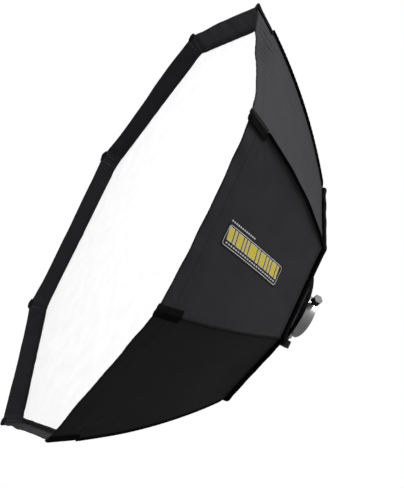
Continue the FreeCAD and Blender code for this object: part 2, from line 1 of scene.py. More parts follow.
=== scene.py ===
"""Studio softbox: cloth, trim, hardware finishes and studio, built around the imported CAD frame.

Metres throughout. +Y runs from the open front to the adapter, and depth counts from the lip's
front edge. An angle turns about Y from +Z towards +X, so gore 1 is on top and gore 3 faces +X.
Seam 0 is between gores 1 and 2. Each uneven effect has its own seed, so every run is the same.
"""

import math

import bpy
import numpy as np
from mathutils import Matrix, Vector


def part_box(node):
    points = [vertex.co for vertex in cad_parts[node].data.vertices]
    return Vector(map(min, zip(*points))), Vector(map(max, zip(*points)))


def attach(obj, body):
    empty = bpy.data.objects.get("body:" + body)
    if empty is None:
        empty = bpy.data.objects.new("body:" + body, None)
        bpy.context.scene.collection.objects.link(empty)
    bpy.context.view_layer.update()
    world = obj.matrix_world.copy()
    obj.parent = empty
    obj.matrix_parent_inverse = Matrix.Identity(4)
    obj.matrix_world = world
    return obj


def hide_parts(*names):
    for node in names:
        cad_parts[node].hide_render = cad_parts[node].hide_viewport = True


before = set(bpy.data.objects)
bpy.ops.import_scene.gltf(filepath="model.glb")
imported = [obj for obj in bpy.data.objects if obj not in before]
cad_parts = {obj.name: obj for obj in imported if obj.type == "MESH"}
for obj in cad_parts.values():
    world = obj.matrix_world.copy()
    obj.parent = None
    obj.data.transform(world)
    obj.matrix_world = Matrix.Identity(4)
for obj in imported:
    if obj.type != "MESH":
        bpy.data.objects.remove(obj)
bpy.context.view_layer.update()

MM = 0.001
TURN = 2 * math.pi
SIDES = 8
GORES = range(1, SIDES + 1)
SECTOR = TURN / SIDES
FLAT = math.cos(SECTOR / 2)  # a side's distance from the axis, where a corner's is 1
SLANT = math.tan(SECTOR / 2)  # half a side's width, where its distance from the axis is 1
BACK = np.array([0.0, 1.0, 0.0])
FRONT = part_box("front_gore_1")[0].y

# The shell's sizes, as the CAD has them. RIM, REAR and NECK are to the corners.
RIM, REAR, NECK = 0.610, 0.305, 0.125
REAR_DEPTH, NECK_DEPTH = 0.385, 0.463
BACK_SLOPE = (NECK_DEPTH - REAR_DEPTH) / (REAR - NECK)
GORE_BULGE, SEAM_BULGE = 0.020, 0.021
LIP = 0.038
CLOTH = 0.8 * MM
PIPING_OFFSET, PIPING = 3.2 * MM, 5.5 * MM


# ---- geometry helpers ----


def arc_height(depth, share, bulge):
    """Distance from the axis of the shell's curved profile at this depth."""
    fall = (RIM - REAR) * share
    chord = math.hypot(fall, REAR_DEPTH)
    bend = (chord**2 / 4 + bulge**2) / (2 * bulge)
    centre_depth = REAR_DEPTH / 2 - (bend - bulge) * fall / chord
    centre_height = (RIM + REAR) / 2 * share - (bend - bulge) * REAR_DEPTH / chord
    return centre_height + np.sqrt(bend**2 - (np.asarray(depth) - centre_depth) ** 2)


def gore_height(depth):
    return arc_height(depth, FLAT, GORE_BULGE)


def seam_height(depth):
    return arc_height(depth, 1.0, SEAM_BULGE)


def radial(angle):
    return chart(np.sin(angle), 0.0, np.cos(angle))


def axes(angle):
    """Outward and sideways directions at this angle."""
    return radial(angle), radial(angle + math.pi / 2)


def gore_axes(number):
    return axes((number - 1) * SECTOR)


def seam_axes(index):
    return axes((index + 0.5) * SECTOR)


def chart(x, y, z=0.0):
    """Triples of these values, broadcast together: points, or a cloth's own coordinates."""
    return np.stack(np.broadcast_arrays(x, y, z), -1)


def along_y(depth):
    """Points on the axis at these depths."""
    return chart(0.0, FRONT + np.asarray(depth, float))


def place(directions, height, across, depth):
    """Points this far out from the axis, across and back, in an outward and sideways frame."""
    outward, aside = directions
    height, across = np.asarray(height, float), np.asarray(across, float)
    return outward * height[..., None] + aside * across[..., None] + along_y(depth)


def unit(vectors):
    return vectors / np.maximum(np.linalg.norm(vectors, axis=-1, keepdims=True), 1e-12)


def surface_normals(points):
    """Outward normals of a grid whose first index runs round and second runs back."""
    return unit(np.cross(np.gradient(points, axis=0), np.gradient(points, axis=1)))


def run_along(path):
    """Distance along a path at each of its points."""
    return np.concatenate([[0], np.cumsum(np.linalg.norm(np.diff(path, axis=0), axis=1))])


def ring_turns(count):
    return np.linspace(0, TURN, count, endpoint=False)


def circle(first, second, count):
    """Points round a circle or ellipse with these two half axes."""
    turns = ring_turns(count)[:, None]
    return first * np.cos(turns) + second * np.sin(turns)


def from_middle(turns):
    """Angle from the middle of the nearest gore."""
    return (turns + SECTOR / 2) % SECTOR - SECTOR / 2


def resampled(line, count):
    """The columns of a list of pairs, at this many evenly spaced steps along it."""
    keys = np.linspace(0, len(line) - 1, count)
    return [np.interp(keys, np.arange(len(line)), column) for column in zip(*line)]


def spread(first, second):
    return np.meshgrid(first, second, indexing="ij")


def smoothstep(low, high, value):
    share = np.clip((np.asarray(value, float) - low) / (high - low), 0, 1)
    return share * share * (3 - 2 * share)


def bump(value, centre, width, power=2):
    """1 at the centre, falling away to 0 over this width."""
    return np.exp(-(((value - centre) / width) ** power))


def waves(across, along, seed, across_wave, along_wave=1.0):
    """Soft uneven waves, about -1 to 1, of these two wavelengths in metres."""
    draw = np.random.default_rng(seed)
    count, total = 6, 0.0
    for _ in range(count):
        k_across = TURN / across_wave * draw.uniform(0.45, 1.4) * draw.choice([-1, 1])
        k_along = TURN / along_wave * draw.uniform(0.45, 1.4)
        total = total + np.sin(k_across * across + k_along * along + draw.uniform(0, TURN))
    return total / math.sqrt(count)


def circle_section(radius, count=10, squash=1.0):
    return circle(np.array([radius, 0.0]), np.array([0.0, radius * squash]), count)


def band_section(width, thick, crown=0.0):
    """A flat tape's section, with slightly rounded edges and an optional crown."""
    across = np.linspace(-width / 2, width / 2, 6)
    top = thick / 2 + crown * (1 - (2 * across / width) ** 2)
    upper = np.stack([across, top], -1)
    lower = np.stack([across[::-1], top[::-1] - thick], -1)
    edge = width / 2 + thick * 0.22
    return np.vstack([upper, [[edge, 0]], lower, [[-edge, 0]]])[::-1]


class Shape:
    """Points, faces, finishes and cloth coordinates that make one piece."""

    def __init__(self):
        self.points, self.cloth, self.faces, self.finishes = [], [], [], []
        self.count = 0

    def add(self, points, faces, finish=0, cloth=None):
        points = np.asarray(points, float).reshape(-1, 3)
        cloth = points if cloth is None else np.asarray(cloth, float).reshape(-1, 3)
        self.points.append(points)
        self.cloth.append(cloth)
        for face in faces:
            self.face([index + self.count for index in face], finish)
        self.count += len(points)

    def face(self, indices, finish=0):
        self.faces.append(tuple(int(index) for index in indices))
        self.finishes.append(finish)

    def grid(self, points, finish=0, cloth=None, flip=False, wrap=False, wrap_along=False):
        """A sheet of quads over points[i, j], closed round i or j where asked."""
        rows, columns = points.shape[:2]
        index = np.arange(rows * columns).reshape(rows, columns)
        if wrap:
            index = np.vstack([index, index[:1]])
        if wrap_along:
            index = np.hstack([index, index[:, :1]])
        corners = [index[:-1, :-1], index[1:, :-1], index[1:, 1:], index[:-1, 1:]]
        quads = np.stack(corners, -1).reshape(-1, 4)
        self.add(points, quads[:, ::-1] if flip else quads, finish, cloth)

    def caps(self, start, around, along):
        """Closes both ends of a grid that is wrapped round."""
        ring = start + np.arange(around) * along
        self.face(ring)
        self.face(ring[::-1] + along - 1)

    def sheet(self, outside, thick, cloth, finishes=(0, 0, 0)):
        """A closed thin cloth whose outer face is outside; finishes are outer, inner and edge."""
        inside = outside - surface_normals(outside) * thick
        rows, columns = outside.shape[:2]
        size, start = rows * columns, self.count
        self.grid(outside, finishes[0], cloth)
        self.grid(inside, finishes[1], cloth, flip=True)
        index = start + np.arange(size).reshape(rows, columns)
        border = [*index[:, 0], *index[-1, 1:], *index[-2::-1, -1], *index[0, -2:0:-1]]
        for near, far in zip(border, border[1:] + border[:1]):
            self.face((far, near, near + size, far + size), finishes[2])

    def sleeve(self, outside, thick, cloth):
        """A closed thin cloth that runs all the way round the axis."""
        self.grid(outside, 0, cloth, wrap=True)
        inside = outside - unit(outside * [1, 0, 1]) * thick
        self.grid(inside, 0, cloth, flip=True, wrap=True)
        rows, columns = outside.shape[:2]
        size = rows * columns
        index = np.arange(size).reshape(rows, columns)
        for edge, step in ((0, 1), (columns - 1, -1)):
            line = index[:, edge]
            for near, far in zip(line, np.roll(line, -1)):
                self.face((near, near + size, far + size, far)[::step])

    def sweep(self, path, side, up, section, closed=False, scale=(1.0, 1.0)):
        """Carries a closed section, drawn in side and up and scaled in each, along a path."""
        side, up = (np.broadcast_to(vector, path.shape) for vector in (side, up))
        width, height = scale
        points = (
            path[None]
            + (section[:, 0, None] * width)[..., None] * side[None]
            + (section[:, 1, None] * height)[..., None] * up[None]
        )
        girth = run_along(np.vstack([section, section[:1]]))[:-1]
        start = self.count
        cloth = chart(girth[:, None], run_along(path)[None])
        self.grid(points, 0, cloth, wrap=True, wrap_along=closed)
        if not closed:
            self.caps(start, len(section), len(path))

    def stitches(self, path, up, long=3.4 * MM, thick=0.42 * MM, closed=False):
        """A row of thread stitches along a line, each a small spindle pressed into the cloth."""
        if closed:
            path = np.vstack([path, path[:1]])
        up = np.broadcast_to(up, path.shape)
        run, gap = run_along(path), 1.3 * MM

        def at(values, reach):
            return np.array([np.interp(reach, run, column) for column in values.T])

        for begin in np.arange(gap / 2, run[-1] - long, long + gap):
            ends, lift = [at(path, begin), at(path, begin + long)], at(up, begin)
            forward = unit(ends[1] - ends[0])
            aside = unit(np.cross(forward, lift)) * thick
            middle, quarter = (ends[0] + ends[1]) / 2, forward * long * 0.27
            lift = lift * thick
            points = [end - lift * 0.5 for end in ends]
            for centre in (middle - quarter, middle + quarter):
                points += [centre + aside, centre + lift, centre - aside, centre - lift]
            turns = [(k, (k + 1) % 4) for k in range(4)]
            faces = [(2 + k, 2 + next_k, 6 + next_k, 6 + k) for k, next_k in turns]
            faces += [(0, 2 + next_k, 2 + k) for k, next_k in turns]
            faces += [(1, 6 + k, 6 + next_k) for k, next_k in turns]
            self.add(points, [face[::-1] for face in faces])

    def piece(self, name, *finishes, body="box", node=None, slot=None):
        mesh = bpy.data.meshes.new(name)
        mesh.from_pydata(np.vstack(self.points).tolist(), [], self.faces)
        mesh.polygons.foreach_set("material_index", self.finishes)
        mesh.polygons.foreach_set("use_smooth", [True] * len(self.faces))
        cloth = mesh.attributes.new("cloth", "FLOAT_VECTOR", "POINT")
        cloth.data.foreach_set("vector", np.vstack(self.cloth).ravel())
        mesh.update()
        mesh.set_sharp_from_angle(angle=math.radians(35))
        for finish in finishes:
            mesh.materials.append(finish)
        made = bpy.data.objects.new(name, mesh)
        bpy.context.scene.collection.objects.link(made)
        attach(made, body)
        if node:
            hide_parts(node)
        return made


# ---- finishes ----


def add_node(tree, kind, inputs=None, **settings):
    """A shader node with its settings, and its inputs linked or given values."""
    made = tree.nodes.new(kind)
    for key, value in settings.items():
        setattr(made, key, value)
    for key, value in (inputs or {}).items():
        if isinstance(value, bpy.types.NodeSocket):
            tree.links.new(value, made.inputs[key])
        else:
            made.inputs[key].default_value = value
    return made


class Finish:
    """A node material with the surface detail that a finish needs."""

    def __init__(self, name, coordinates="cloth", **sockets):
        self.material = bpy.data.materials.new(name)
        self.material.use_nodes = True
        self.tree = self.material.node_tree
        self.shader = self.tree.nodes["Principled BSDF"]
        for socket, value in sockets.items():
            self.shader.inputs[socket.replace("_", " ")].default_value = value
        if coordinates == "cloth":
            attribute = self.node("ShaderNodeAttribute", attribute_name="cloth")
            self.where = attribute.outputs["Vector"]
        else:
            self.where = self.node("ShaderNodeTexCoord").outputs["Object"]

    def node(self, kind, inputs=None, **settings):
        return add_node(self.tree, kind, inputs, **settings)

    def math(self, operation, *values):
        return self.node("ShaderNodeMath", dict(enumerate(values)), operation=operation).outputs[0]

    def noise(self, size, detail=3.0, roughness=0.5, stretch=(1, 1, 1), distortion=0.0):
        """Noise whose lumps are about size metres across."""
        moved = self.node("ShaderNodeMapping", {"Vector": self.where, "Scale": stretch})
        settings = {"Vector": moved.outputs[0], "Scale": 1 / size, "Detail": detail}
        settings.update({"Roughness": roughness, "Distortion": distortion})
        return self.node("ShaderNodeTexNoise", settings).outputs[0]

    def axis(self, letter):
        return self.node("ShaderNodeSeparateXYZ", {0: self.where}).outputs[letter.upper()]

    def ribs(self, letter, pitch):
        """Round ridges across one axis, -1 to 1."""
        return self.math("SINE", self.math("MULTIPLY_ADD", self.axis(letter), TURN / pitch, 0.0))

    def weave(self, pitch):
        """Over-and-under threads of a plain weave, -1 to 1."""
        return self.math("MULTIPLY", self.ribs("x", pitch), self.ribs("y", pitch))

    def ripstop(self, pitch, thick):
        """1 on the doubled threads of a ripstop grid and 0 between them."""
        lines = []
        for letter in "xy":
            folded = self.math("PINGPONG", self.axis(letter), pitch / 2)
            lines.append(self.math("LESS_THAN", folded, thick / 2))
        return self.math("MAXIMUM", *lines)

    def add_up(self, *terms):
        """Sum of (output, weight) pairs."""
        total = 0.0
        for output, weight in terms:
            total = self.math("MULTIPLY_ADD", output, weight, total)
        return total

    def colours(self, factor, *stops):
        ramp = self.node("ShaderNodeValToRGB", {"Fac": factor})
        for position, _ in stops[2:]:
            ramp.color_ramp.elements.new(position)
        for element, (position, colour) in zip(ramp.color_ramp.elements, stops):
            element.position = position
            element.color = (*colour, 1)
        self.tree.links.new(ramp.outputs["Color"], self.shader.inputs["Base Color"])

    def rough(self, factor, low, high):
        span = self.node("ShaderNodeMapRange", {"Value": factor, "To Min": low, "To Max": high})
        self.tree.links.new(span.outputs[0], self.shader.inputs["Roughness"])

    def relief(self, height, depth, strength=1.0):
        """Bump whose full height is depth metres."""
        settings = {"Height": height, "Distance": depth, "Strength": strength}
        made = self.node("ShaderNodeBump", settings)
        self.tree.links.new(made.outputs[0], self.shader.inputs["Normal"])


def grey(level, blue=1.0):
    return (level, level, level * blue)


def nylon(name, dark, light, sheen=0.03, crinkle=0.5, blue=1.1):
    """Woven nylon: fine plain weave, ripstop grid, soft creases and faint handling marks.

    The cloth attribute's Z is the height of modelled folds; the colour is painted lighter on their
    crests and darker in their valleys, a painted highlight and shade.
    """
    made = Finish(name, Sheen_Weight=sheen, Sheen_Roughness=0.5, Specular_IOR_Level=0.12)
    clouds = made.noise(0.07, detail=4)
    speck = made.noise(0.0016, detail=2)
    # The fold height term paints fold crests lighter and valleys darker: painted highlight and
    # shade.
    blend = made.add_up((clouds, 0.7), (speck, 0.3), (made.axis("z"), 180))
    levels = (0.1, dark * 0.8), (0.3, dark), (0.7, light), (0.9, light * 1.2)
    made.colours(blend, *((position, grey(level, blue)) for position, level in levels))
    made.rough(clouds, 0.6, 0.75)
    creases = made.noise(0.03, detail=5, roughness=0.6, stretch=(1, 0.45, 1), distortion=0.4)
    threads = (made.weave(1.1 * MM), 0.06), (made.ripstop(6 * MM, 0.5 * MM), 0.1)
    made.relief(made.add_up(*threads, (creases, crinkle)), 0.9 * MM, 0.7)
    return made.material


def tape(name, dark, light, pitch, letter="y", sheen=0.004):
    """Woven tape with ribs across it, worn a little lighter where it has rubbed."""
    made = Finish(name, Sheen_Weight=sheen, Sheen_Roughness=0.5, Specular_IOR_Level=0.06)
    wear = made.noise(0.02, detail=4, stretch=(1, 0.3, 1))
    made.colours(wear, (0.35, grey(dark, 1.05)), (0.75, grey(light, 1.05)))
    made.rough(wear, 0.6, 0.82)
    threads = (made.ribs(letter, pitch), 0.5), (made.weave(pitch * 0.6), 0.25)
    made.relief(made.add_up(*threads, (wear, 0.3)), 0.35 * MM)
    return made.material


def pile(name, dark, light):
    """Hook or loop tape: a dense, uneven nap."""
    made = Finish(name, Sheen_Weight=0.06, Sheen_Roughness=0.6, Specular_IOR_Level=0.08)
    nap = made.noise(0.0011, detail=5, roughness=0.75)
    made.colours(nap, (0.3, grey(dark)), (0.75, grey(light)))
    made.rough(nap, 0.8, 0.95)
    made.relief(nap, 0.8 * MM)
    return made.material


def white_cloth(name, dark, light, crease_size):
    """Fine white diffusion cloth with a tight weave and soft press marks."""
    made = Finish(name, Sheen_Weight=0.08, Sheen_Roughness=0.5, Specular_IOR_Level=0.3)
    marks = made.noise(crease_size, detail=4, roughness=0.55)
    made.colours(marks, (0.3, grey(dark, 0.995)), (0.7, grey(light, 0.998)))
    made.rough(marks, 0.7, 0.85)
    made.relief(made.add_up((made.weave(0.9 * MM), 0.08), (marks, 0.35)), 0.7 * MM, 0.6)
    return made.material


def silver_lining():
    """Silver-coated nylon: a metallic film with fine crinkles."""
    made = Finish("silver_lining", Metallic=0.85, Specular_IOR_Level=0.5)
    crinkle = made.noise(0.006, detail=6, roughness=0.65, distortion=0.8)
    broad = made.noise(0.08)
    made.colours(broad, (0.3, (0.62, 0.63, 0.65)), (0.7, (0.74, 0.75, 0.77)))
    made.rough(crinkle, 0.3, 0.5)
    height = made.add_up((crinkle, 0.6), (made.weave(1.1 * MM), 0.1), (broad, 0.6))
    made.relief(height, 0.6 * MM, 0.8)
    return made.material


def thread(name, dark, light):
    made = Finish(name, coordinates="object", Sheen_Weight=0.03, Specular_IOR_Level=0.15)
    twist = made.noise(0.0012, detail=2)
    made.colours(twist, (0.3, grey(dark)), (0.7, grey(light)))
    made.rough(twist, 0.45, 0.65)
    made.relief(twist, 0.15 * MM)
    return made.material


def brushed(name, dark, light, roughness, stretch, tint=(1, 1, 1)):
    """Bare metal with fine drawn or turned lines and dull patches."""
    made = Finish(name, coordinates="object", Metallic=1.0)
    lines = made.noise(0.0009, stretch=stretch)
    blend = made.add_up((lines, 0.5), (made.noise(0.03, detail=4), 0.5))
    shades = (tuple(level * part for part in tint) for level in (dark, light))
    made.colours(blend, *zip((0.3, 0.7), shades))
    made.rough(blend, *roughness)
    made.relief(lines, 0.05 * MM, 0.5)
    return made.material


def powder_coat():
    """Textured black powder coat with fine scuffs."""
    made = Finish("powder_coat", coordinates="object", Specular_IOR_Level=0.45)
    grain = made.noise(0.0011, roughness=0.6)
    patches = made.noise(0.025, detail=4)
    scuffs = made.noise(0.004, detail=6, roughness=0.7, stretch=(1, 1, 0.3), distortion=0.6)
    worn = made.math("MULTIPLY", made.math("GREATER_THAN", scuffs, 0.66), patches)
    shades = (0.15, grey(0.018)), (0.4, grey(0.035)), (0.8, grey(0.12))
    made.colours(made.add_up((patches, 0.5), (worn, 0.6)), *shades)
    made.rough(grain, 0.42, 0.6)
    made.relief(grain, 0.25 * MM, 0.8)
    return made.material


def moulded(name, dark, light, roughness=(0.38, 0.55), subsurface=0.0):
    """Moulded plastic with a fine grain and handling marks."""
    sockets = {"Specular_IOR_Level": 0.5, "Subsurface_Weight": subsurface}
    made = Finish(name, coordinates="object", **sockets)
    grain = made.noise(0.0012)
    hands = made.noise(0.02)
    made.colours(hands, (0.3, dark), (0.7, light))
    made.rough(hands, *roughness)
    made.relief(grain, 0.12 * MM, 0.7)
    return made.material


def printed(name, colour, faded):
    """Ink printed on the patch's weave."""
    made = Finish(name, Specular_IOR_Level=0.35)
    worn = made.noise(0.006, detail=4)
    made.colours(worn, (0.25, faded), (0.55, colour))
    made.rough(worn, 0.45, 0.62)
    made.relief(made.add_up((made.weave(0.8 * MM), 0.3), (worn, 0.2)), 0.15 * MM)
    return made.material


NYLON = nylon("black_nylon", 0.026, 0.036)
LINING = silver_lining()
# The facing's black is far darker than the outer nylon: partly the band's own black, partly painted
# shade for the dim inside of the lip.
FACING_WITH_SHADE = nylon("black_facing", 0.005, 0.0075, crinkle=0.35, blue=1.3)
BACK_NYLON = nylon("black_back_nylon", 0.02, 0.03)
WEBBING = tape("black_webbing", 0.003, 0.006, 2.2 * MM)
BINDING = tape("black_binding", 0.004, 0.007, 1.3 * MM)
PIPED = tape("black_piping", 0.003, 0.006, 3.5 * MM)
ELASTIC = tape("black_elastic", 0.012, 0.02, 1.6 * MM, letter="x", sheen=0.02)
THREAD = thread("black_thread", 0.012, 0.022)
GREY_THREAD = thread("grey_thread", 0.05, 0.08)
WHITE_THREAD = thread("white_thread", 0.7, 0.82)
HOOKS = pile("hook_pile", 0.008, 0.02)
LOOPS = pile("loop_pile", 0.01, 0.028)
DIFFUSER = white_cloth("diffuser_white", 0.88, 0.94, 0.05)
BAFFLE = white_cloth("baffle_white", 0.8, 0.88, 0.035)
PATCH = nylon("label_ground", 0.018, 0.024, sheen=0.02, crinkle=0.1)
PRINT_WHITE = printed("print_white", (0.88, 0.88, 0.86), (0.74, 0.74, 0.72))
PRINT_YELLOW = printed("print_yellow", (0.95, 0.77, 0.065), (0.85, 0.67, 0.065))
SPRING_STEEL = brushed("spring_steel", 0.5, 0.62, (0.25, 0.42), (1, 0.05, 1))
BRASS = brushed("ferrule_brass", 0.62, 0.75, (0.3, 0.45), (1, 0.1, 1), (1, 0.8, 0.45))
ALUMINIUM = brushed("turned_aluminium", 0.62, 0.74, (0.26, 0.4), (0.15, 1, 0.15), (1, 1, 1.02))
ZINC = brushed("zinc_steel", 0.48, 0.62, (0.28, 0.5), (1, 1, 1), (1, 1, 1.03))
CASTING = powder_coat()
KNOB = moulded("knob_plastic", grey(0.022), grey(0.032))
TOGGLE = moulded("toggle_plastic", grey(0.02), grey(0.03), roughness=(0.3, 0.45))
NYLON_TIP = moulded("natural_nylon", (0.78, 0.76, 0.7), (0.85, 0.83, 0.77), subsurface=0.1)


# ---- shell cloth ----

STEPS = np.linspace(-1, 1, 97)
SHARES = 0.45 * STEPS + 0.55 * np.sin(STEPS * math.pi / 2)  # closer together near the seams
GORE_END = REAR_DEPTH - 2.4 * MM
DEPTHS = np.concatenate([np.linspace(0, 0.045, 22), np.linspace(0.045, GORE_END, 96)[1:]])
GORE_LEAN = np.arctan(-np.gradient(gore_height(DEPTHS), DEPTHS))
CLOTH_RUN = 1.12  # cloth length for each metre of depth
HEM_LINE = 0.0355

# For each gore: how creased it is near its corners, how much it billows, and how far its free
# front edge bows back and sways between its corners, in mm.
GORE_SHAPES = [
    (0.5, 0.5, -2, 0),
    (0.45, 0.7, 6, 6.5),
    (0.2, 0.25, 9.5, -1),
    (0.35, 0.5, 0, -1),
    (0.6, 0.7, 3, -2),
    (0.5, 0.6, 3, 1),
    (0.5, 0.6, 4, -1),
    (0.6, 0.6, 1, -2.5),
]
FOLDED_GORE = 2
FOLD_PITCH, FOLD_SLANT, FOLD_HEIGHT = 23 * MM, math.radians(16), 3.4 * MM


def diagonal_folds(across, depth, half):
    """Folds that run back from the front edge below the top corner, leaning to the upper seam."""
    from_corner = half + across
    phase = across * math.cos(FOLD_SLANT) + depth * math.sin(FOLD_SLANT)
    phase = phase + waves(across, depth, 300, 0.12, 0.12) * 2.4 * MM
    clear = smoothstep(0.02, 0.06, from_corner)
    window = clear * (1 - smoothstep(0.17, 0.3, from_corner))
    window = window * (1 - smoothstep(0.045, 0.12, depth)) * smoothstep(0.0, 0.012, depth)
    folds = np.sin(phase * math.pi / FOLD_PITCH) ** 2 - 0.5
    drawn = bump((from_corner - 0.1) * 0.4 + depth, 0.05, 0.02) * clear
    return window * folds * FOLD_HEIGHT - drawn * 1.2 * MM


def corner_pleats(number, across, depth, half):
    """Pleats that spread from both front corners of a gore."""
    pleats = 0.0
    for side, seed in ((-1, 50 + number), (1, 60 + number)):
        draw = np.random.default_rng(seed)
        away, behind = half - side * across, depth - 0.045
        reach = np.hypot(away, behind)
        strength = draw.uniform(1.4, 2.2) * MM * GORE_SHAPES[number - 1][0]
        spokes = np.cos(np.arctan2(behind, away) * draw.uniform(9, 13) + draw.uniform(0, 6))
        fade = np.exp(-reach / 0.075) * smoothstep(0.012, 0.05, reach)
        pleats = pleats + strength * fade * spokes
    return pleats


def gore_relief(number, across, depth, half):
    """How far the cloth stands off its smooth curve: sag, folds, pleats, puckers and hem."""
    share = np.clip(across / half, -1, 1)
    inner = 1 - share**2
    creased, billow, _, _ = GORE_SHAPES[number - 1]
    taper = smoothstep(0, 0.07, GORE_END - depth)
    sag = -inner * (0.8 * MM + 5.0 * MM * smoothstep(0.0, 0.2, depth) * taper)
    broad = waves(across, depth, 10 + number, 0.21, 0.34) * 1.5 * MM * billow
    broad = broad * inner * smoothstep(0.01, 0.12, depth)
    fine = waves(across, depth, 30 + number, 0.05, 0.13) * 0.4 * MM * creased * (1 - share**4)
    pleats = corner_pleats(number, across, depth, half)
    if number == FOLDED_GORE:
        pleats = pleats + diagonal_folds(across, depth, half)
    to_seam = half * (1 - np.abs(share))
    jitter = waves(0, depth, 80 + number, 1, 0.05)
    puckers = 0.45 * MM * np.exp(-to_seam / 0.01) * np.sin(depth * TURN / 0.017 + jitter * 2)
    puckers = puckers * smoothstep(0, 0.003, to_seam) * smoothstep(0.06, 0.09, depth)
    gathers = np.sin(across * TURN / 0.013 + waves(across, 0, 90 + number, 0.08) * 2)
    hem = 0.07 * MM * gathers * np.exp(-np.abs(depth - HEM_LINE) / 0.006)
    hem = hem - 0.1 * MM * bump(depth, HEM_LINE, 1.8 * MM)
    edge = waves(across, 0, 100 + number, 0.11) * 0.9 * MM * (1 - smoothstep(0, 0.06, depth))
    return sag + broad + fine + pleats + puckers + (hem + edge) * smoothstep(0, 0.02, to_seam)


def front_gore_points(number, share, depth, drop=0.0, lift=0.0):
    """Points on a front gore: share runs -1 to 1 across it, drop moves it towards the axis."""
    _, _, bow, sway = GORE_SHAPES[number - 1]
    fade = 1 - smoothstep(0, 0.075, depth)
    wander = waves(share, 0, 110 + number, 1.1) * 0.8 * MM * (1 - share**2)
    depth = depth + fade * ((bow * (1 - share**2) + sway * np.sin(share * math.pi)) * MM + wander)
    half = gore_height(depth) * SLANT
    height = gore_height(depth) - drop
    directions = gore_axes(number)
    points = place(directions, height, share * (height * SLANT - 0.1 * MM), depth)
    lean = np.interp(depth, DEPTHS, GORE_LEAN)
    normal = directions[0] * np.cos(lean)[..., None] + BACK * np.sin(lean)[..., None]
    relief = gore_relief(number, share * half, depth, half)
    return points + normal * (relief + lift)[..., None]


def gore_piece(end, number, points, cloth, nylon_finish):
    """A gore's piece: nylon outside and silver inside."""
    shape = Shape()
    shape.sheet(points, CLOTH, cloth, (0, 1, 0))
    finishes, node = (nylon_finish, LINING), f"{end}_gore_{number}"
    return shape.piece(f"{end}_cloth_{number}", *finishes, node=node, slot="shell_nylon")


def front_gore(number):
    share, depth = spread(SHARES, DEPTHS)
    half = gore_height(depth) * SLANT
    # These fold heights go to the cloth's Z, where the nylon paints crests lighter and valleys
    # darker: painted highlight and shade.
    folds = diagonal_folds(share * half, depth, half) if number == FOLDED_GORE else 0.0
    cloth = chart(share * half + number, depth * CLOTH_RUN, folds)
    return gore_piece("front", number, front_gore_points(number, share, depth), cloth, NYLON)


def back_gore_points(number, share, run, lift=0.0):
    """Points on a back gore: run goes 0 to 1 from the piping in to the neck."""
    start, length = (REAR - 1.6 * MM) * FLAT, (REAR - 1.6 * MM - NECK) * FLAT
    height = start + (NECK * FLAT - start) * run
    depth = REAR_DEPTH + (REAR * FLAT - height) * BACK_SLOPE / FLAT
    half = height * SLANT
    inner, taut = 1 - share**2, np.sin(math.pi * run)
    billow = waves(share * half, run * length, 130 + number, 0.09, 0.2) * 0.7 * MM
    relief = (billow - 2.4 * MM) * inner * taut
    to_neck = np.exp(-(1 - run) * length / 0.03) * smoothstep(0, 0.1, 1 - run)
    relief = relief + 0.8 * MM * np.sin(share * 17 + number) * to_neck * (1 - share**6)
    to_piping = np.exp(-run * length / 0.012) * smoothstep(0, 0.02, run)
    gathers = np.sin(share * half * TURN / 0.014 + number) * 0.4 * MM
    relief = relief + gathers * to_piping * inner
    directions, slope = gore_axes(number), BACK_SLOPE / FLAT
    normal = (directions[0] * slope + BACK) / math.hypot(slope, 1)
    points = place(directions, height, share * (half - 0.1 * MM), depth)
    return points + normal * (relief + lift)[..., None]


def back_gore(number):
    share, run = spread(SHARES[::2], np.linspace(0, 1, 34))
    length = (REAR - NECK) * FLAT * math.hypot(1, BACK_SLOPE)
    width = (REAR + (NECK - REAR) * run) * FLAT * SLANT
    cloth = chart(share * width + number, run * length)
    return gore_piece("back", number, back_gore_points(number, share, run), cloth, BACK_NYLON)


def facing():
    """The black band inside the lip, one ring that bows in over the rods at the corners."""
    rings, cloths = [], []
    for number in GORES:
        share, depth = spread(SHARES[:-1], np.linspace(0.2 * MM, LIP + 1.7 * MM, 17))
        half = gore_height(depth) * SLANT
        near_seam = 1 - smoothstep(0.003, 0.03, half * (1 - np.abs(share)))
        over_rod = 6.6 * MM * near_seam * smoothstep(-0.002, 0.006, depth)
        ripple = waves(share * half, depth, 150 + number, 0.06, 0.09) * 0.5 * MM * (1 - share**6)
        drop = 1.2 * MM + over_rod - ripple
        rings.append(front_gore_points(number, share, depth, drop=drop))
        cloths.append(chart(share * half + number, depth))
    shape = Shape()
    shape.sleeve(np.vstack(rings), 0.9 * MM, np.vstack(cloths))
    # Its finish is darker than the outer nylon: partly its own black, partly painted shade.
    return shape.piece("lip_facing_band", FACING_WITH_SHADE, node="lip_facing", slot="black_facing")


def lip_edge():
    """The rolled hem along the free front edge."""
    shares = SHARES[:-1]
    sides = [front_gore_points(number, shares, 0.4 * MM, drop=0.9 * MM) for number in GORES]
    path = np.vstack(sides)
    shape = Shape()
    shape.sweep(path, unit(path * [1, 0, 1]), BACK, circle_section(1.5 * MM), closed=True)
    shape.piece("lip_hem_roll", FACING_WITH_SHADE, slot="black_facing")


def hem_stitches():
    """Thread that holds the facing behind the lip, and the cloths beside the piping."""
    shape = Shape()
    for line in (HEM_LINE, 4.5 * MM):
        for number in GORES:
            path = front_gore_points(number, np.linspace(-0.93, 0.93, 90), line, lift=0.1 * MM)
            shape.stitches(path, gore_axes(number)[0])
    share = np.linspace(-0.95, 0.95, 60)
    for number in GORES:
        path = front_gore_points(number, share, GORE_END - 9 * MM, lift=0.1 * MM)
        shape.stitches(path, gore_axes(number)[0])
        shape.stitches(back_gore_points(number, share, 0.055, lift=0.1 * MM), BACK)
    shape.piece("hem_stitches", THREAD)


# ---- seam trim ----

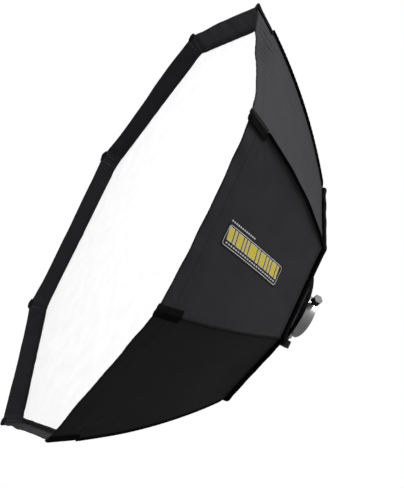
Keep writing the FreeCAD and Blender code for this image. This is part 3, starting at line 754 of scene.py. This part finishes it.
# Half of a bound seam's section, in mm across and out: a tape folded over two cloths.
FIN_SECTION = [(1.9, -0.6), (1.35, 0.6), (1.2, 2.2), (1.35, 4.4), (1.5, 6.6), (1.3, 8.2), (0.6, 9)]
FIN_SECTION += [(-across, rise) for across, rise in FIN_SECTION[::-1]]
# How far each seam's fin leans over, and how far each corner's patch stands over its rod's tip.
LEANS = (0.0, 0.0, 0.1, 1.5, 0.3, 0.0, -0.1, 0.0)
KNUCKLES = (1.0, 0.9, 0.8, 0.3, 0.9, 1.0, 1.0, 1.1)
# A corner patch's line in mm above the seam and back: inside, round the rod's tip, outside.
PATCH_LINE = [(-8.6, 32), (-8.6, 24), (-8.5, 16), (-8.4, 9), (-8.0, 4), (-7.2, 0.5), (-5.6, -2.0)]
PATCH_LINE += [(-3.0, -3.2), (-0.4, -3.0), (1.6, -1.6), (2.6, 0.6)]
PATCH_LINE += [(2.9, depth) for depth in (4, 9, 15, 22, 28, 30, 32, 38, 45, 52, 57, 60, 62, 64)]
PATCH_ROWS = (30 * MM, 59 * MM)


def ridge(across):
    """How far a tape folded over a seam falls away at this distance from the seam."""
    soft = 3 * MM
    return (np.sqrt(across**2 + soft**2) - soft) * SLANT


def seam_binding():
    """The bound edges of the cloths, a fin of folded tape that stands out along each seam."""
    tapes, rows = Shape(), Shape()
    depth = np.linspace(0.0615, REAR_DEPTH - 4.5 * MM, 150)
    ends = smoothstep(0.0, 0.004, depth - depth[0]), smoothstep(0.0, 0.006, depth[-1] - depth)
    height = 0.55 + 0.45 * np.minimum(*ends) + 0.03 * np.sin(depth * 700)
    for index in range(SIDES):
        outward, aside = seam_axes(index)
        lean = waves(depth, 0, 170 + index, 0.13) * 0.10 + LEANS[index]
        sway = waves(depth, 0, 180 + index, 0.07) * 0.25 * MM
        up = unit(outward + aside * lean[:, None])
        path = place((outward, aside), seam_height(depth), sway, depth)
        tapes.sweep(path, aside, up, np.array(FIN_SECTION) * MM, scale=(1.0, height))
        for side in (-1, 1):
            line = path + up * 2.3 * MM + aside * (side * 1.3 * MM)
            rows.stitches(line[3:-3], aside * side, thick=0.4 * MM)
    rows.piece("seam_stitches", THREAD)
    tapes.piece("front_seam_tape", BINDING, node="front_seam_binding", slot="black_binding")


def back_binding():
    """Grosgrain tape over the back seams, from the piping to the neck."""
    tapes, rows = Shape(), Shape()
    radii = np.linspace(REAR - 5 * MM, NECK + 1.5 * MM, 46)

    def depth_at(radius, across, lift):
        fall = np.abs(across) * SLANT * BACK_SLOPE
        return REAR_DEPTH + (REAR - radius) * BACK_SLOPE + lift - fall

    for index in range(SIDES):
        directions = seam_axes(index)
        x, radius = spread(np.linspace(-4.4, 4.4, 7) * MM, radii)
        points = place(directions, radius, x, depth_at(radius, x, 1.1 * MM))
        tapes.sheet(points, 0.85 * MM, chart(x, radius))
        for side in (-3.2 * MM, 3.2 * MM):
            line = place(directions, radii, side, depth_at(radii, side, 1.15 * MM))
            rows.stitches(line, BACK)
    rows.piece("back_seam_stitches", THREAD)
    tapes.piece("back_seam_tape", BINDING, node="back_seam_binding", slot="black_binding")


def corner_patches():
    """Webbing folded over each corner of the rim, stitched down, with the rod's tip in its fold."""
    webbing, rows, inner_rows = Shape(), Shape(), Shape()
    rise, depths = np.array(resampled(PATCH_LINE, 70)) * MM
    for line in (rise, depths):
        line[2:-2] = np.convolve(line, np.ones(5) / 5, "valid")
    inside = 1 - smoothstep(-3 * MM, 1 * MM, rise)
    outside, run = 1 - inside, run_along(np.stack([rise, depths], -1))
    for index in range(SIDES):
        directions = seam_axes(index)
        share, step = spread(np.linspace(-1, 1, 21), np.arange(len(rise)))
        x = share * (16 - 4 * inside[step]) * MM
        depth = depths[step] + waves(share, 0, 190 + index, 1.3) * 0.25 * MM
        tip = bump(x, 0, 11 * MM, 4) * bump(depth, -1 * MM, 11 * MM) * KNUCKLES[index]
        over_rod = 0.9 * MM * bump(x, 0, 4 * MM) * outside[step]
        pinch = 0.45 * MM * sum(bump(depth, line, 1.6 * MM) for line in PATCH_ROWS)
        pinch = pinch * outside[step]
        height = seam_height(np.maximum(depth, 0)) + rise[step] - ridge(x)
        proud = (3.4 * MM + 0.8 * ridge(x)) * tip
        height = height + (proud + over_rod - pinch) * outside[step] - over_rod * inside[step]
        points = place(directions, height, x, depth - 1.8 * MM * tip)
        webbing.sheet(points, 1.4 * MM, chart(x, run[step]))
        outer = [(np.linspace(-13.8, 13.8, 30) * MM, line) for line in PATCH_ROWS]
        outer += [(side * 14.2 * MM, np.linspace(3, 59, 30) * MM) for side in (-1, 1)]
        inner = [(side * 10.3 * MM, np.linspace(2, 30, 16) * MM) for side in (-1, 1)]
        for x, line in outer:
            path = place(directions, seam_height(line) + 3.0 * MM - ridge(x), x, line)
            rows.stitches(path, directions[0], thick=0.5 * MM)
        for x, line in inner:
            path = place(directions, seam_height(line) - 9.6 * MM - ridge(x), x, line)
            inner_rows.stitches(path, -directions[0], thick=0.7 * MM)
    inner_rows.piece("patch_inner_stitches", GREY_THREAD)
    rows.piece("patch_stitches", THREAD)
    webbing.piece("corner_patch_webbing", WEBBING, node="corner_pockets", slot="black_webbing")


def octagon_line(radius, fillet, per_side=40):
    """A rounded octagon: points, outward directions and how near each point is to a corner."""
    points, outwards, nearness = [], [], []
    side_half, flat = radius * math.sin(SECTOR / 2), radius * FLAT
    straight = side_half - fillet * SLANT
    for index in range(SIDES):
        outward, aside = axes(index * SECTOR)
        for x in np.linspace(-straight, straight, per_side):
            points.append(outward * flat + aside * x)
            outwards.append(outward)
            nearness.append(side_half - abs(x))
        centre = outward * (flat - fillet) + aside * straight
        for turn in np.linspace(0, SECTOR, 11)[1:-1]:
            outwards.append(radial(index * SECTOR + turn))
            points.append(centre + outwards[-1] * fillet)
            nearness.append(0.0)
    return np.array(points), np.array(outwards), np.array(nearness)


def rear_piping():
    """Fat covered cord on the rear octagon, pinched between stitches and capped at the corners."""
    path, outward, near = octagon_line(REAR + PIPING_OFFSET, 11 * MM)
    path = path + along_y(REAR_DEPTH + PIPING_OFFSET)
    run = np.cumsum(np.linalg.norm(np.roll(path, -1, 0) - path, axis=1))
    wobble = waves(run, 0, 210, 0.09)
    size = 1 + 0.035 * wobble + 0.02 * np.sin(run * TURN / 0.012) + 0.3 * bump(near, 0, 0.013)
    path = path + outward * (wobble * 0.5 * MM)[:, None]
    shape = Shape()
    section = circle_section(PIPING - 0.3 * MM, 16)
    shape.sweep(path, outward, BACK, section, closed=True, scale=(size, size))
    shape.piece("rear_piping_cord", PIPED, node="rear_piping", slot="black_binding")


# The sleeve's profile: mm of depth, how far it is from octagon to circle, and how gathered.
SLEEVE_PROFILE = [(463.4, 0.0, 0.0), (464.6, 0.35, 0.4), (466.0, 0.8, 0.8), (468.0, 1.0, 0.5)]
SLEEVE_PROFILE += [(471.0, 1.0, 0.25), (474.0, 1.0, 0.3), (476.5, 1.0, 0.8), (477.6, 1.0, 0.9)]
SLEEVE_PROFILE += [(478.2, 1.0, 0.4)]
STRAP_DEPTH = 0.4712


def neck_sleeve():
    """The gathered sleeve that joins the back cloths to the speed ring."""
    turns = ring_turns(288)[:, None]
    depth, roundness, gather = (np.array(column) for column in zip(*SLEEVE_PROFILE))
    octagon = (NECK + 0.4 * MM) * FLAT / np.cos(from_middle(turns))
    pleats = np.sin(turns * 52 + 1.5 * np.sin(turns * 5)) * 0.55 * MM
    radius = octagon * (1 - roundness) + 114.3 * MM * roundness + pleats * gather
    points = chart(radius * np.sin(turns), FRONT + depth * MM, radius * np.cos(turns))
    shape = Shape()
    shape.sleeve(points, 1.0 * MM, chart(turns * 0.114, points[..., 1]))
    return shape.piece("neck_sleeve", BACK_NYLON, node="neck_collar", slot="shell_nylon")


def neck_strap():
    """The strap round the sleeve, with its free end laid over it and stitched down."""
    strap, rows = Shape(), Shape()
    turns = ring_turns(240)
    outward = radial(turns)
    ripple = 115.7 * MM + 0.2 * MM * np.sin(turns * 7)
    path = outward * ripple[:, None] + along_y(STRAP_DEPTH)
    strap.sweep(path, BACK, outward, band_section(9.6 * MM, 1.3 * MM), closed=True)
    turns = np.linspace(0.2, 1.35, 60)
    outward = radial(turns)
    lift = 117.15 * MM + 0.5 * MM * smoothstep(0.2, 0.0, turns - 1.15)
    path = outward * lift[:, None] + along_y(STRAP_DEPTH)
    taper = np.where(turns > 1.3, 1 - 0.5 * smoothstep(1.3, 1.35, turns), 1.0)
    strap.sweep(path, BACK, outward, band_section(9.2 * MM, 1.3 * MM), scale=(taper, 1.0))
    for offset in (-3.4 * MM, 3.4 * MM):
        line = outward * (lift + 0.75 * MM)[:, None] + along_y(STRAP_DEPTH + offset)
        rows.stitches(line[2:-4], outward[2:-4])
    rows.piece("strap_stitches", THREAD)
    strap.piece("neck_strap", WEBBING, node="collar_strap", slot="black_webbing")


# ---- label ----

LABEL_GORE = 3
LABEL_START, LABEL_END = 0.075, 0.286
LABEL_DROP, LABEL_HEIGHT = 0.012, 0.052
LABEL_OUTWARD = unit(np.array([0.807, 0.59, 0.0]))
PRINT_SLANT, PRINT_THICK = -0.2, 0.25 * MM
WHITE_LIFT, YELLOW_LIFT = 0.93 * MM, 1.05 * MM  # above the gore, just over the patch's face
BAR_WIDTHS = (17, 9, 19, 8, 9, 26, 9, 19, 9, 8, 17, 8)


def label_points(along, across, lift):
    """Points on the label: along runs back from its front end, across runs down from its middle."""
    depth = LABEL_START + np.asarray(along, float)
    share = (LABEL_DROP + np.asarray(across, float)) / (gore_height(depth) * SLANT)
    return front_gore_points(LABEL_GORE, share, depth, lift=lift)


def label_block(shape, along, across, lift, thick=PRINT_THICK, slant=PRINT_SLANT, steps=(9, 5)):
    """A block on the label: along and across are its limits, slant leans its ends."""
    b, a = spread(np.linspace(*across, steps[1]), np.linspace(*along, steps[0]))
    a = a - b * slant
    shape.sheet(label_points(a, b, lift), thick, chart(a, b))


def rounded_frame(length, height, radius, inset):
    """The centre line of a rounded rectangle on the label."""
    length, height, radius = length - 2 * inset, height - 2 * inset, radius - inset
    points = []
    for index, (x, y) in enumerate([(1, 1), (-1, 1), (-1, -1), (1, -1)]):
        centre = np.array([x * (length / 2 - radius), y * (height / 2 - radius)])
        for angle in index * math.pi / 2 + np.linspace(0, math.pi / 2, 7):
            points.append(centre + radius * np.array([math.cos(angle), math.sin(angle)]))
    filled = []
    for near, far in zip(points, points[1:] + points[:1]):
        count = max(1, int(np.linalg.norm(far - near) / 0.006))
        filled += [near + (far - near) * step / count for step in range(count)]
    return np.array(filled)


def label():
    """A woven patch with a stitched edge, a white outline and a plain pattern of yellow bars."""
    length = LABEL_END - LABEL_START
    patch, white, yellow, rows = Shape(), Shape(), Shape(), Shape()

    def outline(radius, inset, lift):
        line = rounded_frame(length, LABEL_HEIGHT, radius, inset)
        return label_points(line[:, 0] + length / 2, line[:, 1], lift)

    whole = (0.0, length), (-LABEL_HEIGHT / 2, LABEL_HEIGHT / 2)
    label_block(patch, *whole, 0.75 * MM, thick=0.5 * MM, slant=0.0, steps=(60, 13))
    path = outline(9 * MM, 3.6 * MM, WHITE_LIFT)
    tangent = unit(np.roll(path, -1, 0) - np.roll(path, 1, 0))
    side = unit(np.cross(LABEL_OUTWARD, tangent))
    white.sweep(path, side, LABEL_OUTWARD, band_section(1.5 * MM, PRINT_THICK), closed=True)
    start, border = 9.0 * MM, 1.3 * MM
    for width in BAR_WIDTHS:
        end = start + width * MM
        label_block(white, (start, end), (-19.5 * MM, 10 * MM), WHITE_LIFT)
        inner = (start + border, end - border), (-19.5 * MM + border, 10 * MM - border)
        label_block(yellow, *inner, YELLOW_LIFT)
        start = end + 3.1 * MM
    # Two rows of dashes, in mm: how many, where they start, their pitch, length, limits and lift.
    dashes = (22, 9.5, 8.7, 5.6, (14, 17.2), 0.93), (12, 10, 7.4, 4.6, (-33.5, -30), 0.35)
    for count, first, pitch, long, (low, high), lift in dashes:
        for step in range(count):
            along = (first + step * pitch) * MM, (first + step * pitch + long) * MM
            label_block(white, along, (low * MM, high * MM), lift * MM, steps=(4, 3))
    white.piece("label_print_white", PRINT_WHITE)
    yellow.piece("label_print_yellow", PRINT_YELLOW)
    path = outline(3 * MM, 1.5 * MM, 0.85 * MM)
    rows.stitches(path, LABEL_OUTWARD, long=2.6 * MM, closed=True)
    rows.piece("label_stitches", THREAD)
    return patch.piece("label_woven_patch", PATCH, node="label_patch", slot="label_print")


# ---- diffuser and baffle ----

DIFFUSER_DEPTH, DIFFUSER_RADIUS = 0.0394, 0.5775
BAFFLE_DEPTH, BAFFLE_RADIUS = 0.205, 0.400
BAFFLE_SCALLOP = 13 * MM  # how far each side of the baffle curves in between its corners
BAFFLE_BEHIND = BAFFLE_DEPTH + 2.2 * MM
TOGGLE_HEIGHT = 0.457
# An elastic tab's line, as distance from the axis and mm behind the baffle: out, round the
# toggle and back.
TAB_LINE = [(0.374, 1.0), (0.392, 1.0), (0.41, 0.3), (0.43, 0.1), (0.448, 0.1), (0.4535, -0.6)]
TAB_LINE += [(0.4565, -3.0), (0.4602, -0.4), (0.4606, 1.2), (0.458, 3.6), (0.4535, 2.4)]
TAB_LINE += [(0.447, 1.6), (0.436, 1.6)]
# A toggle's outline, as mm along it and mm from its middle.
TOGGLE_LINE = [(-13, 0.0), (-12.8, 1.1), (-12.1, 1.9), (-10.5, 2.35), (-6.4, 2.3), (-5.8, 1.75)]
TOGGLE_LINE += [(-along, radius) for along, radius in TOGGLE_LINE[::-1]]
# A grip strip's section: mm of depth, and mm in from the gore.
GRIP_LINE = [(39.4, 7.6), (40.6, 6.2), (41.6, 4.6), (43.0, 3.6), (50.0, 3.55), (58.5, 3.6)]


def octagon_ring(per_side):
    """An octagon at distance 1, its outward directions, and 1 in mid side to 0 at its corners."""
    share = np.linspace(-1, 1, per_side, endpoint=False)
    sides = [axes(index * SECTOR) for index in range(SIDES)]
    ring = [outward + aside * (share * SLANT)[:, None] for outward, aside in sides]
    outwards = np.repeat([outward for outward, _ in sides], per_side, axis=0)
    return np.vstack(ring), outwards, np.tile(1 - share**2, SIDES)


def octagon_web(shape, radius, depth, relief, thick, per_side, rings, scallop=0.0):
    """A flat octagonal cloth built from rings round its middle, with relief added backwards."""
    levels = np.linspace(0, 1, rings + 1)[1:] ** 0.85
    ring, _, bow = octagon_ring(per_side)
    pull = scallop / (radius * FLAT) * bow[:, None] * levels**6
    pulled = (ring * radius * FLAT)[:, None] * (levels - pull)[..., None]
    x, z = pulled[..., 0], pulled[..., 2]
    front = pulled + BACK * relief(x, z, levels + 0 * x)[..., None] + along_y(depth)
    count, columns = x.shape
    offset = count * columns
    shape.grid(front, 0, chart(x, z), wrap=True)
    shape.grid(front + BACK * thick, 0, chart(x, z), flip=True, wrap=True)
    zero = np.zeros(1)
    middle = along_y(depth + relief(zero, zero, zero))
    top, low = shape.count, shape.count + 1
    shape.add(np.vstack([middle, middle + BACK * thick]), [], cloth=np.zeros((2, 3)))
    for near in range(0, offset, columns):
        far = (near + columns) % offset
        shape.face((top, far, near))
        shape.face((low, near + offset, far + offset))
        near, far = near + columns - 1, far + columns - 1
        shape.face((near, far, far + offset, near + offset))


def edge_nearness(x, z, radius):
    """Distance inside the octagon's edge."""
    local = from_middle(np.arctan2(x, z))
    return np.maximum(radius * FLAT - np.hypot(x, z) * np.cos(local), 0)


def diffuser_relief(x, z, level):
    """The diffuser's forward belly, with gathers at its edge and pleats at its corners."""
    edge = edge_nearness(x, z, DIFFUSER_RADIUS)
    turns = np.arctan2(x, z)
    gathers = np.sin(turns * 168 + 2 * np.sin(turns * 11)) * 0.45 * MM * np.exp(-edge / 0.014)
    corner = np.cos((turns - SECTOR / 2) * SIDES) ** 8 * np.exp(-edge / 0.09)
    pleats = corner * np.cos(turns * 96) * 0.8 * MM
    soft = waves(x, z, 220, 0.35, 0.45) * 0.9 * MM * (1 - level**4)
    return gathers + pleats + soft - 5.5 * MM * (1 - level**2)


def baffle_relief(x, z, level):
    """The baffle's backward belly, with folds drawn to its corners and slack between them."""
    edge = edge_nearness(x, z, BAFFLE_RADIUS)
    turns = np.arctan2(x, z)
    corner = np.cos((turns - SECTOR / 2) * SIDES) ** 6
    spokes = np.cos(turns * 72 + np.sin(turns * 3)) * 2.2 * MM * corner * level**2
    slack = waves(x, z, 250, 0.16, 0.2) * 2.0 * MM * (1 - corner * level)
    return 4.0 * MM * (1 - level**2) + spokes * np.exp(-edge / 0.16) + slack


def diffuser():
    """The recessed front diffuser with its border, grip strips and stitches."""
    body = {"body": "diffuser"}
    cloth, border, strip, rows = Shape(), Shape(), Shape(), Shape()
    octagon_web(cloth, DIFFUSER_RADIUS, DIFFUSER_DEPTH, diffuser_relief, CLOTH, 22, 34)
    sheet = cloth.piece(
        "diffuser_sheet", DIFFUSER, node="diffuser_cloth", slot="diffuser_white", **body
    )
    path, outward, near = octagon_line(0.5763, 6 * MM, per_side=60)
    wobble = waves(np.arange(len(path)) * 7 * MM, 0, 230, 0.1) * 0.35 * MM
    away = smoothstep(0.012, 0.06, near)
    path = path + along_y(0.0382) + outward * (wobble + 2.0 * MM * away)[:, None]
    section, scale = band_section(6.4 * MM, 1.3 * MM, 0.3 * MM), (1 + 0.62 * away, 1.0)
    border.sweep(path, outward, -BACK, section, closed=True, scale=scale)
    inner_row = path - outward * (2.2 + 2.0 * away)[:, None] * MM - BACK * 0.95 * MM
    rows.stitches(inner_row, -BACK, closed=True)
    share = np.linspace(-0.93, 0.93, 40)
    for number in GORES:
        ripple = waves(share, 0, 240 + number, 0.5) * 0.15 * MM
        lines = []
        for depth, drop in np.array(GRIP_LINE) * MM:
            height = gore_height(depth)
            across = share * (height - drop) * SLANT
            lines.append(place(gore_axes(number), height - drop + ripple, across, depth))
        points = np.stack(lines, 1)
        strip.sheet(points, 1.0 * MM, chart(share[:, None] * 0.23, points[..., 1]), (0, 1, 1))
    border.piece(
        "diffuser_edge_tape", BINDING, node="diffuser_border", slot="black_binding", **body
    )
    strip.piece(
        "diffuser_grip_strips", LOOPS, FACING_WITH_SHADE, node="diffuser_loop_strip", slot="hook_tape", **body
    )
    rows.piece("diffuser_stitches", THREAD, **body)
    return sheet


def hook_tape():
    """Hook tape sewn round the inside of the lip, behind the facing, with its face to the axis."""
    shape = Shape()
    share, depth = spread(SHARES[4:-4], DEPTHS[(DEPTHS > 0.0395) & (DEPTHS < 0.061)])
    cloth = chart(share * gore_height(depth) * SLANT, depth)
    for number in GORES:
        points = front_gore_points(number, share, depth, drop=2.6 * MM)
        shape.sheet(points[:, ::-1], 1.2 * MM, cloth[:, ::-1], (0, 1, 1))
    shape.piece("lip_hook_tape", HOOKS, FACING_WITH_SHADE, node="hook_strip", slot="hook_tape")


def baffle_hem(hem, rows):
    """The baffle's taped edge and its two rows of stitches."""
    ring, outward, bow = octagon_ring(26)
    line = ring * (BAFFLE_RADIUS * FLAT - BAFFLE_SCALLOP * bow)[:, None]
    drape = baffle_relief(line[:, 0], line[:, 2], np.ones(len(line))) + 0.3 * MM
    line = line + along_y(BAFFLE_DEPTH + drape)
    hem.sweep(line - outward * 4 * MM, outward, -BACK, band_section(9 * MM, 1.5 * MM), closed=True)
    for offset in (-1.5 * MM, -6.5 * MM):
        rows.stitches(line + outward * offset - BACK * 0.8 * MM, -BACK, closed=True)


def baffle_corner(index, tabs, toggles, loops, rings):
    """An elastic tab, its toggle, and the loop with an eyelet on the seam that holds it."""
    directions = outward, aside = seam_axes(index)
    radius, rise = resampled(TAB_LINE, 48)
    path = place(directions, radius, 0.0, BAFFLE_BEHIND + rise * MM)
    up = unit(np.cross(aside, unit(np.gradient(path, axis=0))))
    narrow = 1 - 0.12 * np.sin(np.clip((radius - 0.4) / 0.05, 0, 1) * math.pi)
    tabs.sweep(path, aside, up, band_section(10.6 * MM, 0.8 * MM), scale=(narrow, 1.0))
    x, r = np.array(TOGGLE_LINE).T * MM
    centre = place(directions, TOGGLE_HEIGHT, 0.0, BAFFLE_BEHIND)
    around = circle(outward, BACK, 16)[:, None] * np.maximum(r, 0.02 * MM)[:, None]
    toggles.grid(centre + around + aside * x[:, None], wrap=True, flip=True)
    width = np.linspace(-6.5, 6.5, 7) * MM
    rise, high = spread(width, np.linspace(-29.5, -5.6, 12) * MM)
    end = np.clip(1 - ((high + 24 * MM) / (7 * MM)) ** 2, 0, 1)
    rounded = np.where(high < -24 * MM, np.sqrt(end), 1.0)
    depth = BAFFLE_BEHIND + rise * np.maximum(rounded, 0.5)
    points = place(directions, seam_height(depth) + high, 8.2 * MM, depth)
    loops.sheet(points, 1.1 * MM, chart(rise, high))
    spokes = circle(outward, BACK, 28)
    ring = centre + aside * 8.3 * MM + spokes * 3.7 * MM
    rings.sweep(ring, spokes, aside, circle_section(0.9 * MM, 8, 1.1), closed=True)


def baffle():
    """The inner baffle, pulled out at its corners by tabs that toggle into loops on the seams."""
    cloth, hem, tabs, loops, rings, toggles, rows = (Shape() for _ in range(7))
    sizes = 0.6 * MM, 18, 26, BAFFLE_SCALLOP
    octagon_web(cloth, BAFFLE_RADIUS, BAFFLE_DEPTH, baffle_relief, *sizes)
    sheet = cloth.piece("baffle_sheet", BAFFLE, node="baffle_cloth", slot="baffle_white")
    baffle_hem(hem, rows)
    for index in range(SIDES):
        baffle_corner(index, tabs, toggles, loops, rings)
    hem.piece("baffle_hem", BAFFLE)
    rows.piece("baffle_stitches", WHITE_THREAD)
    tabs.piece("baffle_elastics", ELASTIC, node="baffle_tabs", slot="black_elastic")
    toggles.piece("baffle_toggle_bars", TOGGLE, node="baffle_toggles", slot="knob_plastic")
    loops.piece("baffle_seam_loops", WEBBING, node="baffle_loops", slot="black_webbing")
    rings.piece("baffle_eyelets", ZINC)
    return sheet


# ---- hardware ----

STUD_CREST, STUD_ROOT, STUD_PITCH = 3.97 * MM, 3.3 * MM, 1.25 * MM
# Each thumb screw's angle in degrees, its depth, and its stud's inner and outer ends.
SCREWS = {f"clamp_{n}": (60 + 120 * (n - 1), 0.512, 0.0543, 0.083) for n in (1, 2, 3)}
SCREWS["lock"] = (225, 0.486, 0.0601, 0.097)


def threaded_stud(name, degrees, depth, inner, outer):
    """A stud with a helical thread, tapered at both ends."""
    outward, aside = axes(math.radians(degrees))
    turns = ring_turns(20)
    reach = np.linspace(inner, outer, int((outer - inner) / (STUD_PITCH / 5)))
    theta, along = spread(turns, reach)
    saw = np.abs(((along / STUD_PITCH - theta / TURN) % 1) * 2 - 1)
    radius = STUD_ROOT + (STUD_CREST - STUD_ROOT) * smoothstep(0.15, 0.85, saw)
    from_end = np.minimum(along - inner, outer - along)
    radius = np.minimum(radius, STUD_ROOT * 0.85 + from_end * 0.9)
    across = circle(aside, BACK, 20)[:, None] * radius[..., None]
    shape = Shape()
    shape.grid(outward * along[..., None] + across + along_y(depth), wrap=True, flip=True)
    shape.caps(0, len(turns), len(reach))
    screw, node = f"{name}_screw", f"{name}_stud"
    shape.piece(f"{name}_threaded_stud", ZINC, body=screw, node=node, slot="screw_steel")


def dress(node, material):
    """Gives a CAD node its finish."""
    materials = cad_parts[node].data.materials
    materials.clear()
    materials.append(material)


def hardware():
    """Finishes for the CAD nodes that stay, and the four threaded studs."""
    for index in range(SIDES):
        dress(f"rod_{index + 1}", SPRING_STEEL)
    dress("rod_ferrules", BRASS)
    dress("adapter", ALUMINIUM)
    dress("speed_ring", CASTING)
    dress("retaining_ring", ALUMINIUM)
    dress("retaining_screws", ZINC)
    for name, sizes in SCREWS.items():
        dress(f"{name}_knob", KNOB)
        dress(f"{name}_tip", NYLON_TIP)
        threaded_stud(name, *sizes)


# ---- build ----

front_cloths = [front_gore(number) for number in GORES]
back_cloths = [back_gore(number) for number in GORES]
facing_band = facing()
lip_edge()
hem_stitches()
seam_binding()
back_binding()
corner_patches()
rear_piping()
sleeve = neck_sleeve()
neck_strap()
label_piece = label()
diffuser_piece = diffuser()
hook_tape()
baffle_piece = baffle()
hardware()

# ---- studio ----

AMBIENT = (0.16, 0.34)  # the sky's strength from below and from above
FLOOR_HEIGHT, FLOOR_RADIUS, FLOOR_SIDES = -1.0, 5.0, 96
FLOOR_MELTS = (0.8, 2.2)  # where the floor starts and ends its change to the backdrop's white
WHITE = (1, 1, 1, 1)


def area_light(name, position, target, size, watts):
    made = bpy.data.lights.new(name, "AREA")
    made.shape, made.size, made.energy = "DISK", size, watts
    light = bpy.data.objects.new(name, made)
    facing_to = (Vector(target) - Vector(position)).to_track_quat("-Z", "Y")
    light.matrix_world = Matrix.Translation(position) @ facing_to.to_matrix().to_4x4()
    bpy.context.scene.collection.objects.link(light)


def studio_world():
    """White behind the object, with dim even light from above and less from below."""
    world = bpy.data.worlds.new("studio")
    world.use_nodes = True
    bpy.context.scene.world = world
    world.node_tree.nodes.clear()

    def node(kind, inputs=None):
        return add_node(world.node_tree, kind, inputs).outputs

    generated = node("ShaderNodeTexCoord")["Generated"]
    height = node("ShaderNodeSeparateXYZ", {0: generated})["Z"]
    span = {"Value": height, "From Min": -0.6, "From Max": 0.6}
    level = node("ShaderNodeMapRange", span)[0]
    span = {"Value": level, "To Min": AMBIENT[0], "To Max": AMBIENT[1]}
    ambient = node("ShaderNodeMapRange", span)[0]
    dim = node("ShaderNodeBackground", {"Color": WHITE, "Strength": ambient})[0]
    white = node("ShaderNodeBackground", {"Color": WHITE, "Strength": 1.0})[0]
    seen = node("ShaderNodeLightPath")["Is Camera Ray"]
    mixed = node("ShaderNodeMixShader", {0: seen, 1: dim, 2: white})[0]
    node("ShaderNodeOutputWorld", {"Surface": mixed})


def floor():
    """A round pale floor below the object, which melts into the white backdrop."""
    shape = bpy.data.meshes.new("floor")
    ring = circle(FLOOR_RADIUS * chart(1, 0), FLOOR_RADIUS * chart(0, 1), FLOOR_SIDES)
    ring = ring + [0, 0, FLOOR_HEIGHT]
    shape.from_pydata(ring.tolist(), [], [tuple(range(FLOOR_SIDES))])
    paint = Finish("floor_paint", coordinates="object", Specular_IOR_Level=0.2)
    paint.colours(paint.noise(0.4), (0.3, grey(0.84)), (0.7, grey(0.87)))
    paint.rough(paint.noise(0.1), 0.7, 0.85)
    spot = paint.node("ShaderNodeSeparateXYZ", {0: paint.where}).outputs
    squares = [paint.math("POWER", spot[axis], 2.0) for axis in (0, 1)]
    away = paint.math("SQRT", paint.math("ADD", *squares))
    span = {"Value": away, "From Min": FLOOR_MELTS[0], "From Max": FLOOR_MELTS[1]}
    glow = paint.node("ShaderNodeMapRange", span, interpolation_type="SMOOTHSTEP").outputs[0]
    bright = paint.node("ShaderNodeEmission", {"Color": WHITE, "Strength": 1.0}).outputs[0]
    layers = {0: glow, 1: paint.shader.outputs[0], 2: bright}
    mixed = paint.node("ShaderNodeMixShader", layers).outputs[0]
    surface = paint.tree.nodes["Material Output"].inputs["Surface"]
    paint.tree.links.new(mixed, surface)
    shape.materials.append(paint.material)
    made = bpy.data.objects.new("floor", shape)
    bpy.context.scene.collection.objects.link(made)
    made.visible_diffuse = made.visible_glossy = False


bpy.context.scene.view_settings.view_transform = "Standard"
studio_world()
floor()
area_light("key", (1.0, 1.45, 3.4), (0, -0.26, 0), 1.8, 130)
area_light("front_fill", (0.4, -4.2, 0.5), (0, -0.53, 0), 3.0, 151)

camera_data = bpy.data.cameras.new("camera")
camera_data.lens, camera_data.sensor_width = 112.15, 36
camera = bpy.data.objects.new("camera", camera_data)
camera.matrix_world = Matrix(
    (
        (0.33964, 0.02542, 0.94021, 3.5486),
        (0.83977, -0.45838, -0.29097, -1.4288),
        (0.42358, 0.88839, -0.17703, -0.6276),
        (0, 0, 0, 1),
    )
)
bpy.context.scene.collection.objects.link(camera)
bpy.context.scene.camera = camera
